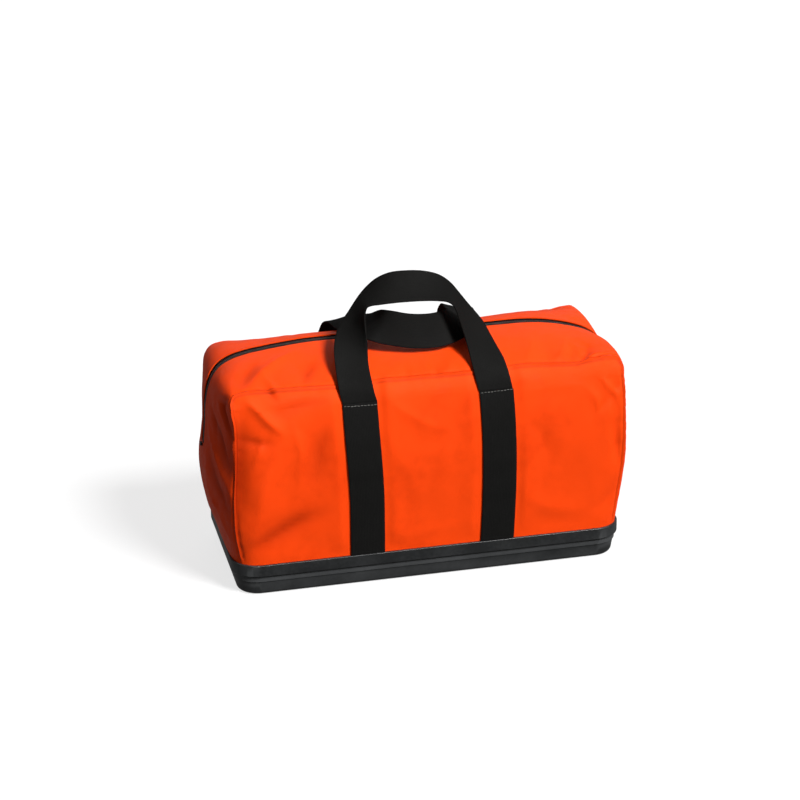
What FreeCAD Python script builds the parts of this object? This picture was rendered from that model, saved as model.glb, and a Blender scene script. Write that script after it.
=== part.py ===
"""Hard-bottom duffel bag: a moulded base tray, a nylon body with a zipped top, and two webbing handles.

Millimetres. +X runs along the bag, +Y to its back, +Z up. The origin is the centre of the base's underside.
Left and right are mirror images, and so are front and back but for the handles, so a half turn about Z
makes the back from the front and the left end from the right one.
"""
import math
import os

import FreeCAD
import Part

V = FreeCAD.Vector

# ---- driving dimensions: base -------------------------------------------------------------------
RIM_HALF_LENGTH = 300.5
RIM_HALF_DEPTH = 135.0
RIM_CORNER_R = 42.0
RIM_THICKNESS = 3.6
RIM_HEIGHT = 18.0
RIM_LIP = 1.5
RIM_EDGE_R = 1.2
STEP_TOP_Z = 30.0              # top of the tray's outer step
STEP_INSET = 4.0               # the step stands this far inside the rim band
GROOVE_HEIGHT = 2.0            # open groove between the step and the rim band
GROOVE_INSET = 8.0
LINE_Z = 21.5                  # fine moulded line round the tray
LINE_SIZE = 0.8
FOOT_TOP_INSET = 5.5
FOOT_INSET = 9.0
FOOT_R = 6.0
TRAY_WALL = 3.0
UPSTAND_HEIGHT = 12.5          # tray wall inside the fabric's hem
FLOOR_PANEL = 3.0
FLOOR_PANEL_CLEARANCE = 1.0

# ---- driving dimensions: fabric body --------------------------------------------------------------
FABRIC = 2.5                   # fabric and its padding, as one wall
END_BULGE = 29.0               # how far each end swells past the rim band's inside
TOP_Z = 347.0                  # top of the bag along the zip
END_BULGE_BELOW = 182.0        # widest part of the ends, below the top
SHOULDER_BELOW = 79.0          # the ends turn into the shoulders this far below the top
SHOULDER_BULGE = 18.0          # how far the end still stands out there
SHOULDER_RUN = 71.0            # the shoulder falls gently over this length
SHOULDER_DROP = 19.5           # and by this much
SHOULDER_LENGTH = 84.9         # from the rim band's inside to the level part of the top
CROWN_RISE = 4.0               # the top's arc would peak this far above the level zip
SEAM_BELOW = 30.0              # seam between the front and the top, below the top
SEAM_INSET = 23.0              # how far the front has leaned in at the seam
FOLD_BELOW_SEAM = 29.0         # top of the sewn webbing, where the top folds open
FOLD_INSET = 9.0               # how far the front has leaned in at the fold
LEANING_HEIGHT = 118.0         # the front leans in over this height below the fold
SLIT = 0.6                     # gap along the fold and at the ends of the opening top

# ---- driving dimensions: zip ----------------------------------------------------------------------
ZIP_EDGE_CLEARANCE = 1.5       # from a slider's side to the fabric's edge
ZIP_END_BELOW = 147.0          # the zip stops on each end this far below the top
ZIP_STOP = 4.0
TAPE_HALF = 20.0
TAPE = 1.0
TAPE_UNDER_FABRIC = 0.2
TEETH_BELOW_TOP = 1.2          # top of the teeth below the fabric's outside
TEETH_HEIGHT = 3.6
TEETH_WIDTH = 3.1
TEETH_GAP_HALF = 1.0           # the sliders' bridges pass between the rows
SLIDER_LENGTH = 14.0
SLIDER_HALF_WIDTH = 6.5
SLIDER_PLATE = 1.5
SLIDER_CLEARANCE = 0.5
SLIDER_X = 15.0                # middle of each slider with the bag closed
BRIDGE_LENGTH = 3.0
BRIDGE_CLEARANCE = 0.4
PIN_R = 0.8
PIN_CLEARANCE = 0.1
PIN_HEIGHT = 2.8               # pin above the slider's top plate
LUG_HALF_WIDTH = 1.6
LUG_HALF_LENGTH = 2.0
ARM_WIDTH = 1.6
ARM_R = 2.0
ARM_CLEARANCE = 0.4
PULL_LENGTH = 30.0
PULL_THICKNESS = 1.4
PULL_PLATE_START = 4.5         # from the pin to the pull's plate
PULL_HOLE_R = 2.0

# ---- driving dimensions: webbing ------------------------------------------------------------------
WEBBING_WIDTH = 50.8
WEBBING = 2.2
SEWN_GAP = 0.2                 # between the sewn webbing and the fabric
FREE_GAP = 0.35                # beside a handle that swings
HINGE_CLEARANCE = 0.9          # from the sewn webbing's face out to the fold line
STRAP_X = 99.3                 # middle of each sewn strap
HANDLE_LEG = 85.0              # straight part of the front handle's legs
HANDLE_BEND_R = 78.0           # middle line of its two upper bends
BACK_LEG = 52.0                # straight part of the back handle's legs
BACK_RUN_RISE = 17.0           # its legs run level this far above the top
GRIP_CLEARANCE = 4.5           # from its grip to the front handle's legs
GRIP_ABOVE_TOP = 0.8           # from its grip's lower edge to the fabric
STITCH_LENGTH = 3.4
STITCH = 0.6
STITCH_PROUD = 0.05
STITCH_COUNT = 9
STITCH_DROP = 4.0              # stitch row below the sewn webbing's top
RIM_GAP = 0.3                  # sewn webbing above the rim band

# ---- sizes that follow ----------------------------------------------------------------------------
SKIRT_HALF_LENGTH = RIM_HALF_LENGTH - RIM_THICKNESS
SKIRT_HALF_DEPTH = RIM_HALF_DEPTH - RIM_THICKNESS
SKIRT_INSET = RIM_THICKNESS
RIM_Z = STEP_TOP_Z + GROOVE_HEIGHT
RIM_TOP_Z = RIM_Z + RIM_HEIGHT
SKIRT_Z = RIM_Z + RIM_LIP
UPSTAND_INSET = SKIRT_INSET + FABRIC
CAVITY_INSET = UPSTAND_INSET + TRAY_WALL
FLOOR_INSET = FOOT_INSET + TRAY_WALL + FOOT_R / 3
END_X = SKIRT_HALF_LENGTH + END_BULGE
TOP_FLAT_HALF = SKIRT_HALF_LENGTH - SHOULDER_LENGTH
END_BULGE_Z = TOP_Z - END_BULGE_BELOW
SHOULDER_Z = TOP_Z - SHOULDER_BELOW
SEAM_Z = TOP_Z - SEAM_BELOW
FOLD_Z = SEAM_Z - FOLD_BELOW_SEAM
UPRIGHT_Z = FOLD_Z - LEANING_HEIGHT
ZIP_END_Z = TOP_Z - ZIP_END_BELOW
ZIP_SLOT_HALF = SLIDER_HALF_WIDTH + ZIP_EDGE_CLEARANCE
FOLD_FACE_Y = SKIRT_HALF_DEPTH - FOLD_INSET
SEAM_Y = SKIRT_HALF_DEPTH - SEAM_INSET
LEAN_R = (FOLD_INSET**2 + (FOLD_Z - UPRIGHT_Z) ** 2) / (2 * FOLD_INSET)
LEAN = math.atan2(FOLD_FACE_Y - SEAM_Y, SEAM_Z - FOLD_Z)
HINGE_Y = FOLD_FACE_Y + SEWN_GAP + WEBBING + HINGE_CLEARANCE
HINGE_Z = FOLD_Z + SLIT / 2
TEETH_TOP = TOP_Z - TEETH_BELOW_TOP
TEETH_OUTER = TEETH_GAP_HALF + TEETH_WIDTH
LOWER_PLATE_TOP = TEETH_TOP - TEETH_HEIGHT - SLIDER_CLEARANCE
UPPER_PLATE_Z = TEETH_TOP + SLIDER_CLEARANCE
UPPER_PLATE_TOP = UPPER_PLATE_Z + SLIDER_PLATE
PIN_Z = UPPER_PLATE_TOP + PIN_HEIGHT
HANDLE_START = FREE_GAP + (FREE_GAP + WEBBING) * math.tan(LEAN)
BACK_RUN_Z = TOP_Z + BACK_RUN_RISE
CROWN_R = (SEAM_Y**2 + (SEAM_BELOW + CROWN_RISE) ** 2) / (2 * (SEAM_BELOW + CROWN_RISE))
GRIP_TOP_RISE = TOP_Z + GRIP_ABOVE_TOP + WEBBING_WIDTH - HINGE_Z
FRONT_LEG_Y = HINGE_Y - GRIP_TOP_RISE * math.tan(LEAN) - (FREE_GAP + WEBBING) / math.cos(LEAN)
BACK_GRIP_Y = FRONT_LEG_Y - GRIP_CLEARANCE - WEBBING
CROWN_AT_GRIP = TOP_Z + CROWN_RISE - CROWN_R + math.sqrt(CROWN_R**2 - BACK_GRIP_Y**2)
GRIP_Z = min(TOP_Z, CROWN_AT_GRIP) + GRIP_ABOVE_TOP
ARM_Y = LUG_HALF_WIDTH + ARM_CLEARANCE
FAR = 1000.0


# ---- drawing helpers ------------------------------------------------------------------------------
def box(x0, x1, y0, y1, z0, z1):
    """Box between two corners."""
    return Part.makeBox(x1 - x0, y1 - y0, z1 - z0, V(x0, y0, z0))


def line(a, b):
    return Part.makeLine(a, b)


def arc(a, through, b):
    return Part.Arc(a, through, b).toShape()


def leaving_arc(start, heading, end):
    """Arc that leaves start along heading and ends at end."""
    chord = end - start
    heading = V(heading).normalize()
    turn = heading.getAngle(chord)
    if turn < 1e-9:
        return line(start, end)
    side = (V(chord).normalize() - heading * math.cos(turn)).normalize()
    towards = heading * math.cos(turn / 2) + side * math.sin(turn / 2)
    middle = start + towards * (chord.Length / 2 / math.cos(turn / 2))
    return arc(start, middle, end)


def both_sides(edges, normal):
    """The edges and their mirror image in the plane through the origin."""
    return edges + [e.mirror(V(0, 0, 0), normal) for e in edges]


def closed_face(edges):
    return Part.Face(Part.Wire(Part.sortEdges(edges)[0]))


def half_turn(shape):
    """A copy on the far side of the Z axis."""
    turned = shape.copy()
    turned.rotate(V(0, 0, 0), V(0, 0, 1), 180)
    return turned


def only_solid(shape):
    """The one solid of a cut or fused shape."""
    solids = shape.Solids
    if len(solids) != 1:
        raise ValueError(f"expected one solid, got {len(solids)}")
    return solids[0]


# ---- outlines -------------------------------------------------------------------------------------
def plan_face(inset=0.0, bulge=0.0, z=0.0):
    """Rounded rectangle of the rim band's plan, set inside it, its ends swollen by bulge."""
    length, depth = RIM_HALF_LENGTH - inset, RIM_HALF_DEPTH - inset
    r = RIM_CORNER_R - inset
    diagonal = r * (1 - math.sqrt(0.5))
    corner_in, corner_out = V(length - r, depth, z), V(length, depth - r, z)
    quarter = [
        line(V(0, depth, z), corner_in),
        arc(corner_in, V(length - diagonal, depth - diagonal, z), corner_out),
    ]
    if bulge:
        quarter.append(leaving_arc(V(length + bulge, 0, z), V(0, 1, 0), corner_out))
    else:
        quarter.append(line(corner_out, V(length, 0, z)))
    return closed_face(both_sides(both_sides(quarter, V(0, 1, 0)), V(1, 0, 0)))


def side_face():
    """The bag's outline seen from the front, in the XZ plane."""
    foot = V(SKIRT_HALF_LENGTH, 0, RIM_TOP_Z)
    shoulder = V(SKIRT_HALF_LENGTH + SHOULDER_BULGE, 0, SHOULDER_Z)
    slope = V(TOP_FLAT_HALF + SHOULDER_RUN, 0, TOP_Z - SHOULDER_DROP)
    flat = V(TOP_FLAT_HALF, 0, TOP_Z)
    fall = 2 * math.atan2(SHOULDER_DROP, SHOULDER_RUN)
    half = [
        line(V(0, 0, 0), V(SKIRT_HALF_LENGTH, 0, 0)),
        line(V(SKIRT_HALF_LENGTH, 0, 0), foot),
        arc(foot, V(END_X, 0, END_BULGE_Z), shoulder),
        leaving_arc(slope, V(math.cos(fall), 0, -math.sin(fall)), shoulder),
        leaving_arc(flat, V(1, 0, 0), slope),
        line(V(0, 0, TOP_Z), flat),
    ]
    return closed_face(both_sides(half, V(1, 0, 0)))


def end_face():
    """The bag's outline seen from an end, in the YZ plane."""
    upright = V(0, SKIRT_HALF_DEPTH, UPRIGHT_Z)
    fold = V(0, FOLD_FACE_Y, FOLD_Z)
    seam = V(0, SEAM_Y, SEAM_Z)
    half = [
        line(V(0, 0, 0), V(0, SKIRT_HALF_DEPTH, 0)),
        line(V(0, SKIRT_HALF_DEPTH, 0), upright),
        leaving_arc(upright, V(0, 0, 1), fold),
        line(fold, seam),
        leaving_arc(V(0, 0, TOP_Z + CROWN_RISE), V(0, 1, 0), seam),
    ]
    return closed_face(both_sides(half, V(0, 1, 0)))


def offset(face, distance):
    return face.makeOffset2D(distance) if distance else face


def side_prism(distance=0.0):
    """The bag's front outline grown by distance and run from front to back."""
    face = offset(side_face(), distance)
    face.translate(V(0, -FAR, 0))
    return face.extrude(V(0, 2 * FAR, 0))


def end_prism(distance=0.0):
    """The bag's end outline grown by distance and run from end to end."""
    face = offset(end_face(), distance)
    face.translate(V(-FAR, 0, 0))
    return face.extrude(V(2 * FAR, 0, 0))


def envelope(distance=0.0):
    """The bag's outside, grown by distance: where its three outlines meet."""
    plan = offset(plan_face(SKIRT_INSET, END_BULGE), distance)
    return plan.extrude(V(0, 0, FAR)).common(side_prism(distance)).common(end_prism(distance))


def plan_block(inset, z0, z1):
    return plan_face(inset, z=z0).extrude(V(0, 0, z1 - z0))


def plan_loft(inset0, z0, inset1, z1):
    wires = [plan_face(inset0, z=z0).OuterWire, plan_face(inset1, z=z1).OuterWire]
    return Part.makeLoft(wires, True, True)


# ---- base -----------------------------------------------------------------------------------------
def base_tray():
    foot = plan_loft(FOOT_INSET, 0, FOOT_TOP_INSET, LINE_Z)
    bottom = [e for e in foot.Edges if e.BoundBox.ZMax < 1e-6]
    foot = foot.makeFillet(FOOT_R, bottom)
    outside = [
        plan_block(FOOT_TOP_INSET + LINE_SIZE, LINE_Z, LINE_Z + LINE_SIZE),
        plan_block(STEP_INSET, LINE_Z + LINE_SIZE, STEP_TOP_Z),
        plan_block(GROOVE_INSET, STEP_TOP_Z, SKIRT_Z),
        plan_block(UPSTAND_INSET, SKIRT_Z, SKIRT_Z + UPSTAND_HEIGHT),
    ]
    cavity = plan_loft(FLOOR_INSET, TRAY_WALL, CAVITY_INSET, LINE_Z)
    upper = plan_block(CAVITY_INSET, LINE_Z, SKIRT_Z + UPSTAND_HEIGHT)
    return only_solid(foot.fuse(outside).cut([cavity, upper]).removeSplitter())


def rim_band():
    """Band with a lip that hooks under the fabric's hem."""
    outside = plan_block(0, RIM_Z, RIM_TOP_Z)
    edges = [e for e in outside.Edges if e.BoundBox.ZLength < 1e-6]
    outside = outside.makeFillet(RIM_EDGE_R, edges)
    inside = plan_block(SKIRT_INSET, SKIRT_Z, RIM_TOP_Z)
    lip_hole = plan_block(GROOVE_INSET, RIM_Z, SKIRT_Z)
    return only_solid(outside.cut([inside, lip_hole]))


def floor_panel():
    return plan_block(FLOOR_INSET + FLOOR_PANEL_CLEARANCE, TRAY_WALL, TRAY_WALL + FLOOR_PANEL)


# ---- fabric body ----------------------------------------------------------------------------------
def fabric_shell():
    shell = envelope().cut(envelope(-FABRIC))
    return shell.common(box(-FAR, FAR, -FAR, FAR, SKIRT_Z, FAR))


def front_region():
    """Everything that the front panel takes of the shell, mitred along the top seam."""
    inner = 3 * FABRIC
    points = [
        V(-FAR, -FAR, 0),
        V(-FAR, -SKIRT_HALF_DEPTH + inner, 0),
        V(-FAR, -SKIRT_HALF_DEPTH + inner, UPRIGHT_Z),
        V(-FAR, -FOLD_FACE_Y + inner, FOLD_Z),
        V(-FAR, -SEAM_Y + inner, SEAM_Z - inner),
        V(-FAR, -SEAM_Y, SEAM_Z),
        V(-FAR, -FAR, SEAM_Z + FAR),
    ]
    outline = [line(a, b) for a, b in zip(points, points[1:] + points[:1])]
    return closed_face(outline).extrude(V(2 * FAR, 0, 0))


def fabric_pieces():
    """The panels on the base, and those of the opening top."""
    shell, front = fabric_shell(), front_region()
    slot = box(-FAR, FAR, -ZIP_SLOT_HALF, ZIP_SLOT_HALF, ZIP_END_Z - 2 * ZIP_STOP, FAR)
    half = TOP_FLAT_HALF
    lid_space = box(-half - SLIT, half + SLIT, -FAR, FAR, FOLD_Z, FAR)
    lid = shell.common(box(-half, half, -FAR, FAR, FOLD_Z + SLIT, FAR)).cut(slot)
    panel = only_solid(shell.common(front).cut(lid_space))
    strip = only_solid(lid.common(front))
    back = half_turn(front)
    top = only_solid(lid.cut([front, back, box(-FAR, FAR, 0, FAR, 0, FAR)]))
    ends = shell.cut([front, back, lid_space, slot])
    right_end = only_solid(ends.common(box(0, FAR, -FAR, FAR, 0, FAR)))
    return {
        "front_panel": panel,
        "back_panel": half_turn(panel),
        "right_end_panel": right_end,
        "left_end_panel": half_turn(right_end),
        "front_top_strip": strip,
        "back_top_strip": half_turn(strip),
        "front_top_panel": top,
        "back_top_panel": half_turn(top),
    }


# ---- zip ------------------------------------------------------------------------------------------
def zip_run(depth, thickness, y0, y1, region):
    """Strip that follows the bag's outline, depth below it, cut to a region."""
    run = envelope(-depth).cut(envelope(-depth - thickness))
    return run.common(box(-FAR, FAR, y0, y1, 0, FAR)).common(region)


def zip_pieces():
    half = TOP_FLAT_HALF
    lid = box(-half, half, -FAR, FAR, FOLD_Z, FAR)
    end = box(half + SLIT, FAR, -FAR, FAR, ZIP_END_Z, FAR)
    foot = box(0, FAR, -FAR, FAR, ZIP_END_Z - ZIP_STOP, ZIP_END_Z)
    stop = only_solid(zip_run(TEETH_BELOW_TOP, TEETH_HEIGHT, -TEETH_OUTER, TEETH_OUTER, foot))
    pieces = {"right_zip_stop": stop, "left_zip_stop": half_turn(stop)}
    rows = {
        "tape": (FABRIC + TAPE_UNDER_FABRIC, TAPE, TEETH_OUTER, TAPE_HALF),
        "teeth": (TEETH_BELOW_TOP, TEETH_HEIGHT, TEETH_GAP_HALF, TEETH_OUTER),
    }
    for name, (depth, thickness, near, far) in rows.items():
        row = only_solid(zip_run(depth, thickness, -far, -near, lid))
        pieces[f"front_zip_{name}"] = row
        pieces[f"back_zip_{name}"] = half_turn(row)
        front = only_solid(zip_run(depth, thickness, -far, -near, end))
        back = only_solid(zip_run(depth, thickness, near, far, end))
        pair = Part.makeCompound([front, back])
        pieces[f"right_end_zip_{name}"] = pair
        pieces[f"left_end_zip_{name}"] = half_turn(pair)
    return pieces


def zip_slider():
    """Right slider: two plates, the bridge between the rows at its nose, and the pull's lug and pin."""
    x0, x1 = SLIDER_X - SLIDER_LENGTH / 2, SLIDER_X + SLIDER_LENGTH / 2
    w, bridge = SLIDER_HALF_WIDTH, TEETH_GAP_HALF - BRIDGE_CLEARANCE
    lower = box(x0, x1, -w, w, LOWER_PLATE_TOP - SLIDER_PLATE, LOWER_PLATE_TOP)
    upper = box(x0, x1, -w, w, UPPER_PLATE_Z, UPPER_PLATE_TOP)
    nose = box(x0, x0 + BRIDGE_LENGTH, -bridge, bridge, LOWER_PLATE_TOP, UPPER_PLATE_Z)
    lug = box(
        SLIDER_X - LUG_HALF_LENGTH, SLIDER_X + LUG_HALF_LENGTH,
        -LUG_HALF_WIDTH, LUG_HALF_WIDTH, UPPER_PLATE_TOP, PIN_Z + PIN_R,
    )
    reach = ARM_Y + ARM_WIDTH
    pin = Part.makeCylinder(PIN_R, 2 * reach, V(SLIDER_X, -reach, PIN_Z), V(0, 1, 0))
    return only_solid(lower.fuse([upper, nose, lug, pin]).removeSplitter())


def zip_pull():
    """Right pull, lying outwards along the zip."""
    wide = 2 * (ARM_Y + ARM_WIDTH)
    eye = Part.makeCylinder(ARM_R, wide, V(SLIDER_X, -wide / 2, PIN_Z), V(0, 1, 0))
    low, high = PIN_Z - PULL_THICKNESS / 2, PIN_Z + PULL_THICKNESS / 2
    plate = box(SLIDER_X, SLIDER_X + PULL_LENGTH, -wide / 2, wide / 2, low, high)
    fork = box(-FAR, SLIDER_X + PULL_PLATE_START, -ARM_Y, ARM_Y, 0, FAR)
    bore_r = PIN_R + PIN_CLEARANCE
    bore = Part.makeCylinder(bore_r, wide, V(SLIDER_X, -wide / 2, PIN_Z), V(0, 1, 0))
    hole_x = SLIDER_X + PULL_LENGTH - 2 * PULL_HOLE_R
    hole = Part.makeCylinder(PULL_HOLE_R, PULL_THICKNESS, V(hole_x, 0, low))
    return only_solid(eye.fuse(plate).removeSplitter().cut([fork, bore, hole]))


# ---- webbing --------------------------------------------------------------------------------------
def sewn_strap(side):
    """Webbing sewn to the front, from the rim band up to the fold."""
    x, w = side * STRAP_X, WEBBING_WIDTH / 2
    band = end_prism(SEWN_GAP + WEBBING).cut(end_prism(SEWN_GAP))
    return only_solid(band.common(box(x - w, x + w, -FAR, 0, RIM_TOP_Z + RIM_GAP, FOLD_Z)))


def strap_stitching():
    """Row of stitches across the top of both front straps."""
    z = FOLD_Z - STITCH_DROP
    rise = z - UPRIGHT_Z
    leaned = LEAN_R - math.sqrt(LEAN_R**2 - rise**2)
    y = SKIRT_HALF_DEPTH - leaned + SEWN_GAP + WEBBING + STITCH_PROUD + STITCH / 4
    pitch = WEBBING_WIDTH / (STITCH_COUNT + 1)
    length = min(STITCH_LENGTH, 0.8 * pitch)
    stitches = []
    for side in (-1, 1):
        for i in range(STITCH_COUNT):
            x = side * STRAP_X + (i - (STITCH_COUNT - 1) / 2) * pitch
            stitches.append(box(x - length / 2, x + length / 2, -y - STITCH, -y, z, z + STITCH))
    return Part.makeCompound(stitches)


def front_handle():
    """Arched webbing, drawn upright and leaned in about the fold line."""
    outer_r = HANDLE_BEND_R + WEBBING_WIDTH / 2
    inner_r = HANDLE_BEND_R - WEBBING_WIDTH / 2
    centre = V(STRAP_X - HANDLE_BEND_R, 0, HANDLE_LEG)
    start = HANDLE_START

    def bend(r):
        x, z = centre.x, centre.z
        middle = V(x + r * math.sqrt(0.5), 0, z + r * math.sqrt(0.5))
        return arc(V(x + r, 0, z), middle, V(x, 0, z + r))

    half = [
        line(V(centre.x + inner_r, 0, start), V(centre.x + outer_r, 0, start)),
        line(V(centre.x + outer_r, 0, start), V(centre.x + outer_r, 0, HANDLE_LEG)),
        bend(outer_r),
        line(V(centre.x, 0, HANDLE_LEG + outer_r), V(0, 0, HANDLE_LEG + outer_r)),
        line(V(0, 0, HANDLE_LEG + inner_r), V(centre.x, 0, HANDLE_LEG + inner_r)),
        bend(inner_r),
        line(V(centre.x + inner_r, 0, HANDLE_LEG), V(centre.x + inner_r, 0, start)),
    ]
    handle = closed_face(both_sides(half, V(1, 0, 0))).extrude(V(0, WEBBING, 0))
    handle.translate(V(0, FREE_GAP, 0))
    handle.rotate(V(0, 0, 0), V(1, 0, 0), -math.degrees(LEAN))
    handle.translate(V(0, -HINGE_Y, HINGE_Z))
    return handle


def back_handle():
    """Webbing that flops over the top, its grip on edge; drawn at the front and turned to the back."""
    along = V(0, math.sin(LEAN), math.cos(LEAN))
    inward = V(0, math.cos(LEAN), -math.sin(LEAN))
    fold = V(0, -HINGE_Y, HINGE_Z)
    bend_z = (fold + along * BACK_LEG + inward * (FREE_GAP + WEBBING / 2)).z
    middle_r = (BACK_RUN_Z - bend_z) / (1 - math.sin(LEAN))

    def side(distance, r):
        low = fold + along * HANDLE_START + inward * distance
        bend = fold + along * BACK_LEG + inward * distance
        level = bend + V(0, r * math.cos(LEAN), r * (1 - math.sin(LEAN)))
        return low, bend, level, V(0, BACK_GRIP_Y, level.z)

    lower = side(FREE_GAP + WEBBING, middle_r - WEBBING / 2)
    upper = side(FREE_GAP, middle_r + WEBBING / 2)
    edges = [line(lower[0], upper[0]), line(lower[3], upper[3])]
    for low, bend, level, end in (lower, upper):
        edges += [line(low, bend), leaving_arc(bend, along, level), line(level, end)]
    inner_x, outer_x = STRAP_X - WEBBING_WIDTH / 2, STRAP_X + WEBBING_WIDTH / 2
    leg = closed_face(edges).extrude(V(WEBBING_WIDTH, 0, 0))
    leg.translate(V(inner_x, 0, 0))
    grip = box(
        -outer_x, outer_x, BACK_GRIP_Y, BACK_GRIP_Y + WEBBING, GRIP_Z, GRIP_Z + WEBBING_WIDTH
    )
    left_leg = leg.translated(V(-inner_x - outer_x, 0, 0))
    return half_turn(only_solid(grip.fuse([leg, left_leg])))


def webbing_pieces():
    left, right, stitching = sewn_strap(-1), sewn_strap(1), strap_stitching()
    return {
        "front_left_strap": left,
        "front_right_strap": right,
        "back_left_strap": half_turn(right),
        "back_right_strap": half_turn(left),
        "front_strap_stitching": stitching,
        "back_strap_stitching": half_turn(stitching),
        "front_handle": front_handle(),
        "back_handle": back_handle(),
    }


# ---- assembly -------------------------------------------------------------------------------------
def main():
    slider, pull = zip_slider(), zip_pull()
    pieces = {
        "base_tray": base_tray(),
        "rim_band": rim_band(),
        "floor_panel": floor_panel(),
        "right_zip_slider": slider,
        "left_zip_slider": half_turn(slider),
        "right_zip_pull": pull,
        "left_zip_pull": half_turn(pull),
    }
    pieces.update(fabric_pieces())
    pieces.update(zip_pieces())
    pieces.update(webbing_pieces())
    os.makedirs("parts", exist_ok=True)
    for name, shape in pieces.items():
        shape.exportStep(f"parts/{name}.step")


main()
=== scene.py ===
"""A hard-bottom duffel bag: orange nylon sewn to a moulded base, a zipped top and two webbing handles.

Sizes are in millimetres and turned into metres as each mesh is made. +X runs along the bag, +Y to its
back and +Z up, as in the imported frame. The cloth is one lofted shell, worked out once, with its sags,
folds and seams in the mesh, and then parted along the line where the top folds open.
"""

import logging
import math
from dataclasses import dataclass, field
from enum import Enum
from functools import partial
from typing import Callable, Dict, List, Optional, Sequence, Tuple

import bpy
import numpy as np
from mathutils import Matrix, Vector, noise

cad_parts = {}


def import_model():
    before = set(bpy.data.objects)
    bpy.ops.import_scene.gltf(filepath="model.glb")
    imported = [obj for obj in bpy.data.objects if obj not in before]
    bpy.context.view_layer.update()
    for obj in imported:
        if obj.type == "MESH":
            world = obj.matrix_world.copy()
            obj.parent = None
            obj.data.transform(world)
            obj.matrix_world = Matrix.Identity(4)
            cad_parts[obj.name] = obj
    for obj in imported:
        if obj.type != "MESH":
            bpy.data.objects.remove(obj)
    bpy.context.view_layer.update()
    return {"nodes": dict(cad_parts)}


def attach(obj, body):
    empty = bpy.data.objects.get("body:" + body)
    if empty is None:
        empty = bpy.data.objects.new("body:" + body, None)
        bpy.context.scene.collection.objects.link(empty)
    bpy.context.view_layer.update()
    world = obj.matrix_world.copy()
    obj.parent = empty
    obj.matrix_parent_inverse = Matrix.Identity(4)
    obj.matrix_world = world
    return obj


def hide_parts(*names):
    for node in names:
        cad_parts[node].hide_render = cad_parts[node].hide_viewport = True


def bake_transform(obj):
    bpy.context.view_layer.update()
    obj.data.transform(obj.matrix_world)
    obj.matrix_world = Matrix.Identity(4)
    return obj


log = logging.getLogger("duffel")

MM = 0.001
FAR = 1e9
Knots = Sequence[Tuple[float, ...]]
Colour = Tuple[float, float, float]


class Body(Enum):
    """The moving bodies of the frame."""

    BASE = "base"
    FRONT_FLAP = "front_flap"
    BACK_FLAP = "back_flap"
    FRONT_HANDLE = "front_handle"
    BACK_HANDLE = "back_handle"


class Side(Enum):
    """Left or right, as the sign of X."""

    LEFT = -1
    RIGHT = 1


class Face(Enum):
    """Front or back, as the sign of Y."""

    FRONT = -1
    BACK = 1


# ---- curves ---------------------------------------------------------------------------------------
def smoothstep(t: np.ndarray) -> np.ndarray:
    """Eases from 0 to 1.

    Args:
        t: Positions, where 0 is the start and 1 the end.

    Returns:
        The eased values.
    """
    t = np.clip(t, 0.0, 1.0)
    return t * t * (3.0 - 2.0 * t)


def through(knots: Knots, at: np.ndarray) -> np.ndarray:
    """Reads a smooth curve that passes through every knot.

    Args:
        knots: Pairs of position and value, in rising order of position.
        at: Where to read it.

    Returns:
        The values there.
    """
    x, y = np.array(knots, float).T
    slope = np.gradient(y, x)
    i = np.clip(np.searchsorted(x, at) - 1, 0, len(x) - 2)
    h = x[i + 1] - x[i]
    t = np.clip((at - x[i]) / h, 0.0, 1.0)
    return (
        (2 * t**3 - 3 * t**2 + 1) * y[i]
        + (t**3 - 2 * t**2 + t) * h * slope[i]
        + (3 * t**2 - 2 * t**3) * y[i + 1]
        + (t**3 - t**2) * h * slope[i + 1]
    )


def arc_length(points: np.ndarray) -> np.ndarray:
    """The running length along a line of points, starting at 0."""
    steps = np.linalg.norm(np.diff(points, axis=0), axis=1)
    return np.concatenate([[0.0], np.cumsum(steps)])


def at_fractions(points: np.ndarray, fractions: np.ndarray) -> np.ndarray:
    """Points at given fractions of a line's length.

    Args:
        points: The line.
        fractions: Where along it, from 0 to 1.

    Returns:
        One point for each fraction.
    """
    run = arc_length(points)
    return np.stack([np.interp(fractions * run[-1], run, points[:, k]) for k in range(3)], axis=1)


def spline(points: Knots, count: int = 400) -> np.ndarray:
    """A smooth line through points in space.

    Args:
        points: The points it passes through.
        count: How many points it is drawn with.

    Returns:
        The line.
    """
    knots = np.array(points, float)
    run = arc_length(knots)
    at = np.linspace(0.0, run[-1], count)
    return np.stack([through(np.stack([run, knots[:, k]], axis=1), at) for k in range(3)], axis=1)


def graded(length: float, coarse: float, fine: float, zone: float) -> np.ndarray:
    """Fractions of a length, closer together near its end.

    Args:
        length: The whole length.
        coarse: Spacing away from the end.
        fine: Spacing near the end.
        zone: How much of the end has the fine spacing.

    Returns:
        Fractions from 0 to 1.
    """
    far = np.linspace(0.0, length - zone, max(2, round((length - zone) / coarse) + 1))
    near = np.linspace(length - zone, length, max(2, round(zone / fine) + 1))
    return np.concatenate([far, near[1:]]) / length


def unit(vectors: np.ndarray) -> np.ndarray:
    """The same directions, each one long."""
    return vectors / np.maximum(np.linalg.norm(vectors, axis=-1, keepdims=True), 1e-9)


def read(curve: Callable[..., np.ndarray], *at: float) -> float:
    """Reads a function of arrays at one place.

    Args:
        curve: The function.
        *at: A number for each of its arrays.

    Returns:
        Its value there.
    """
    return float(curve(*(np.array([value]) for value in at))[0])


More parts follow.
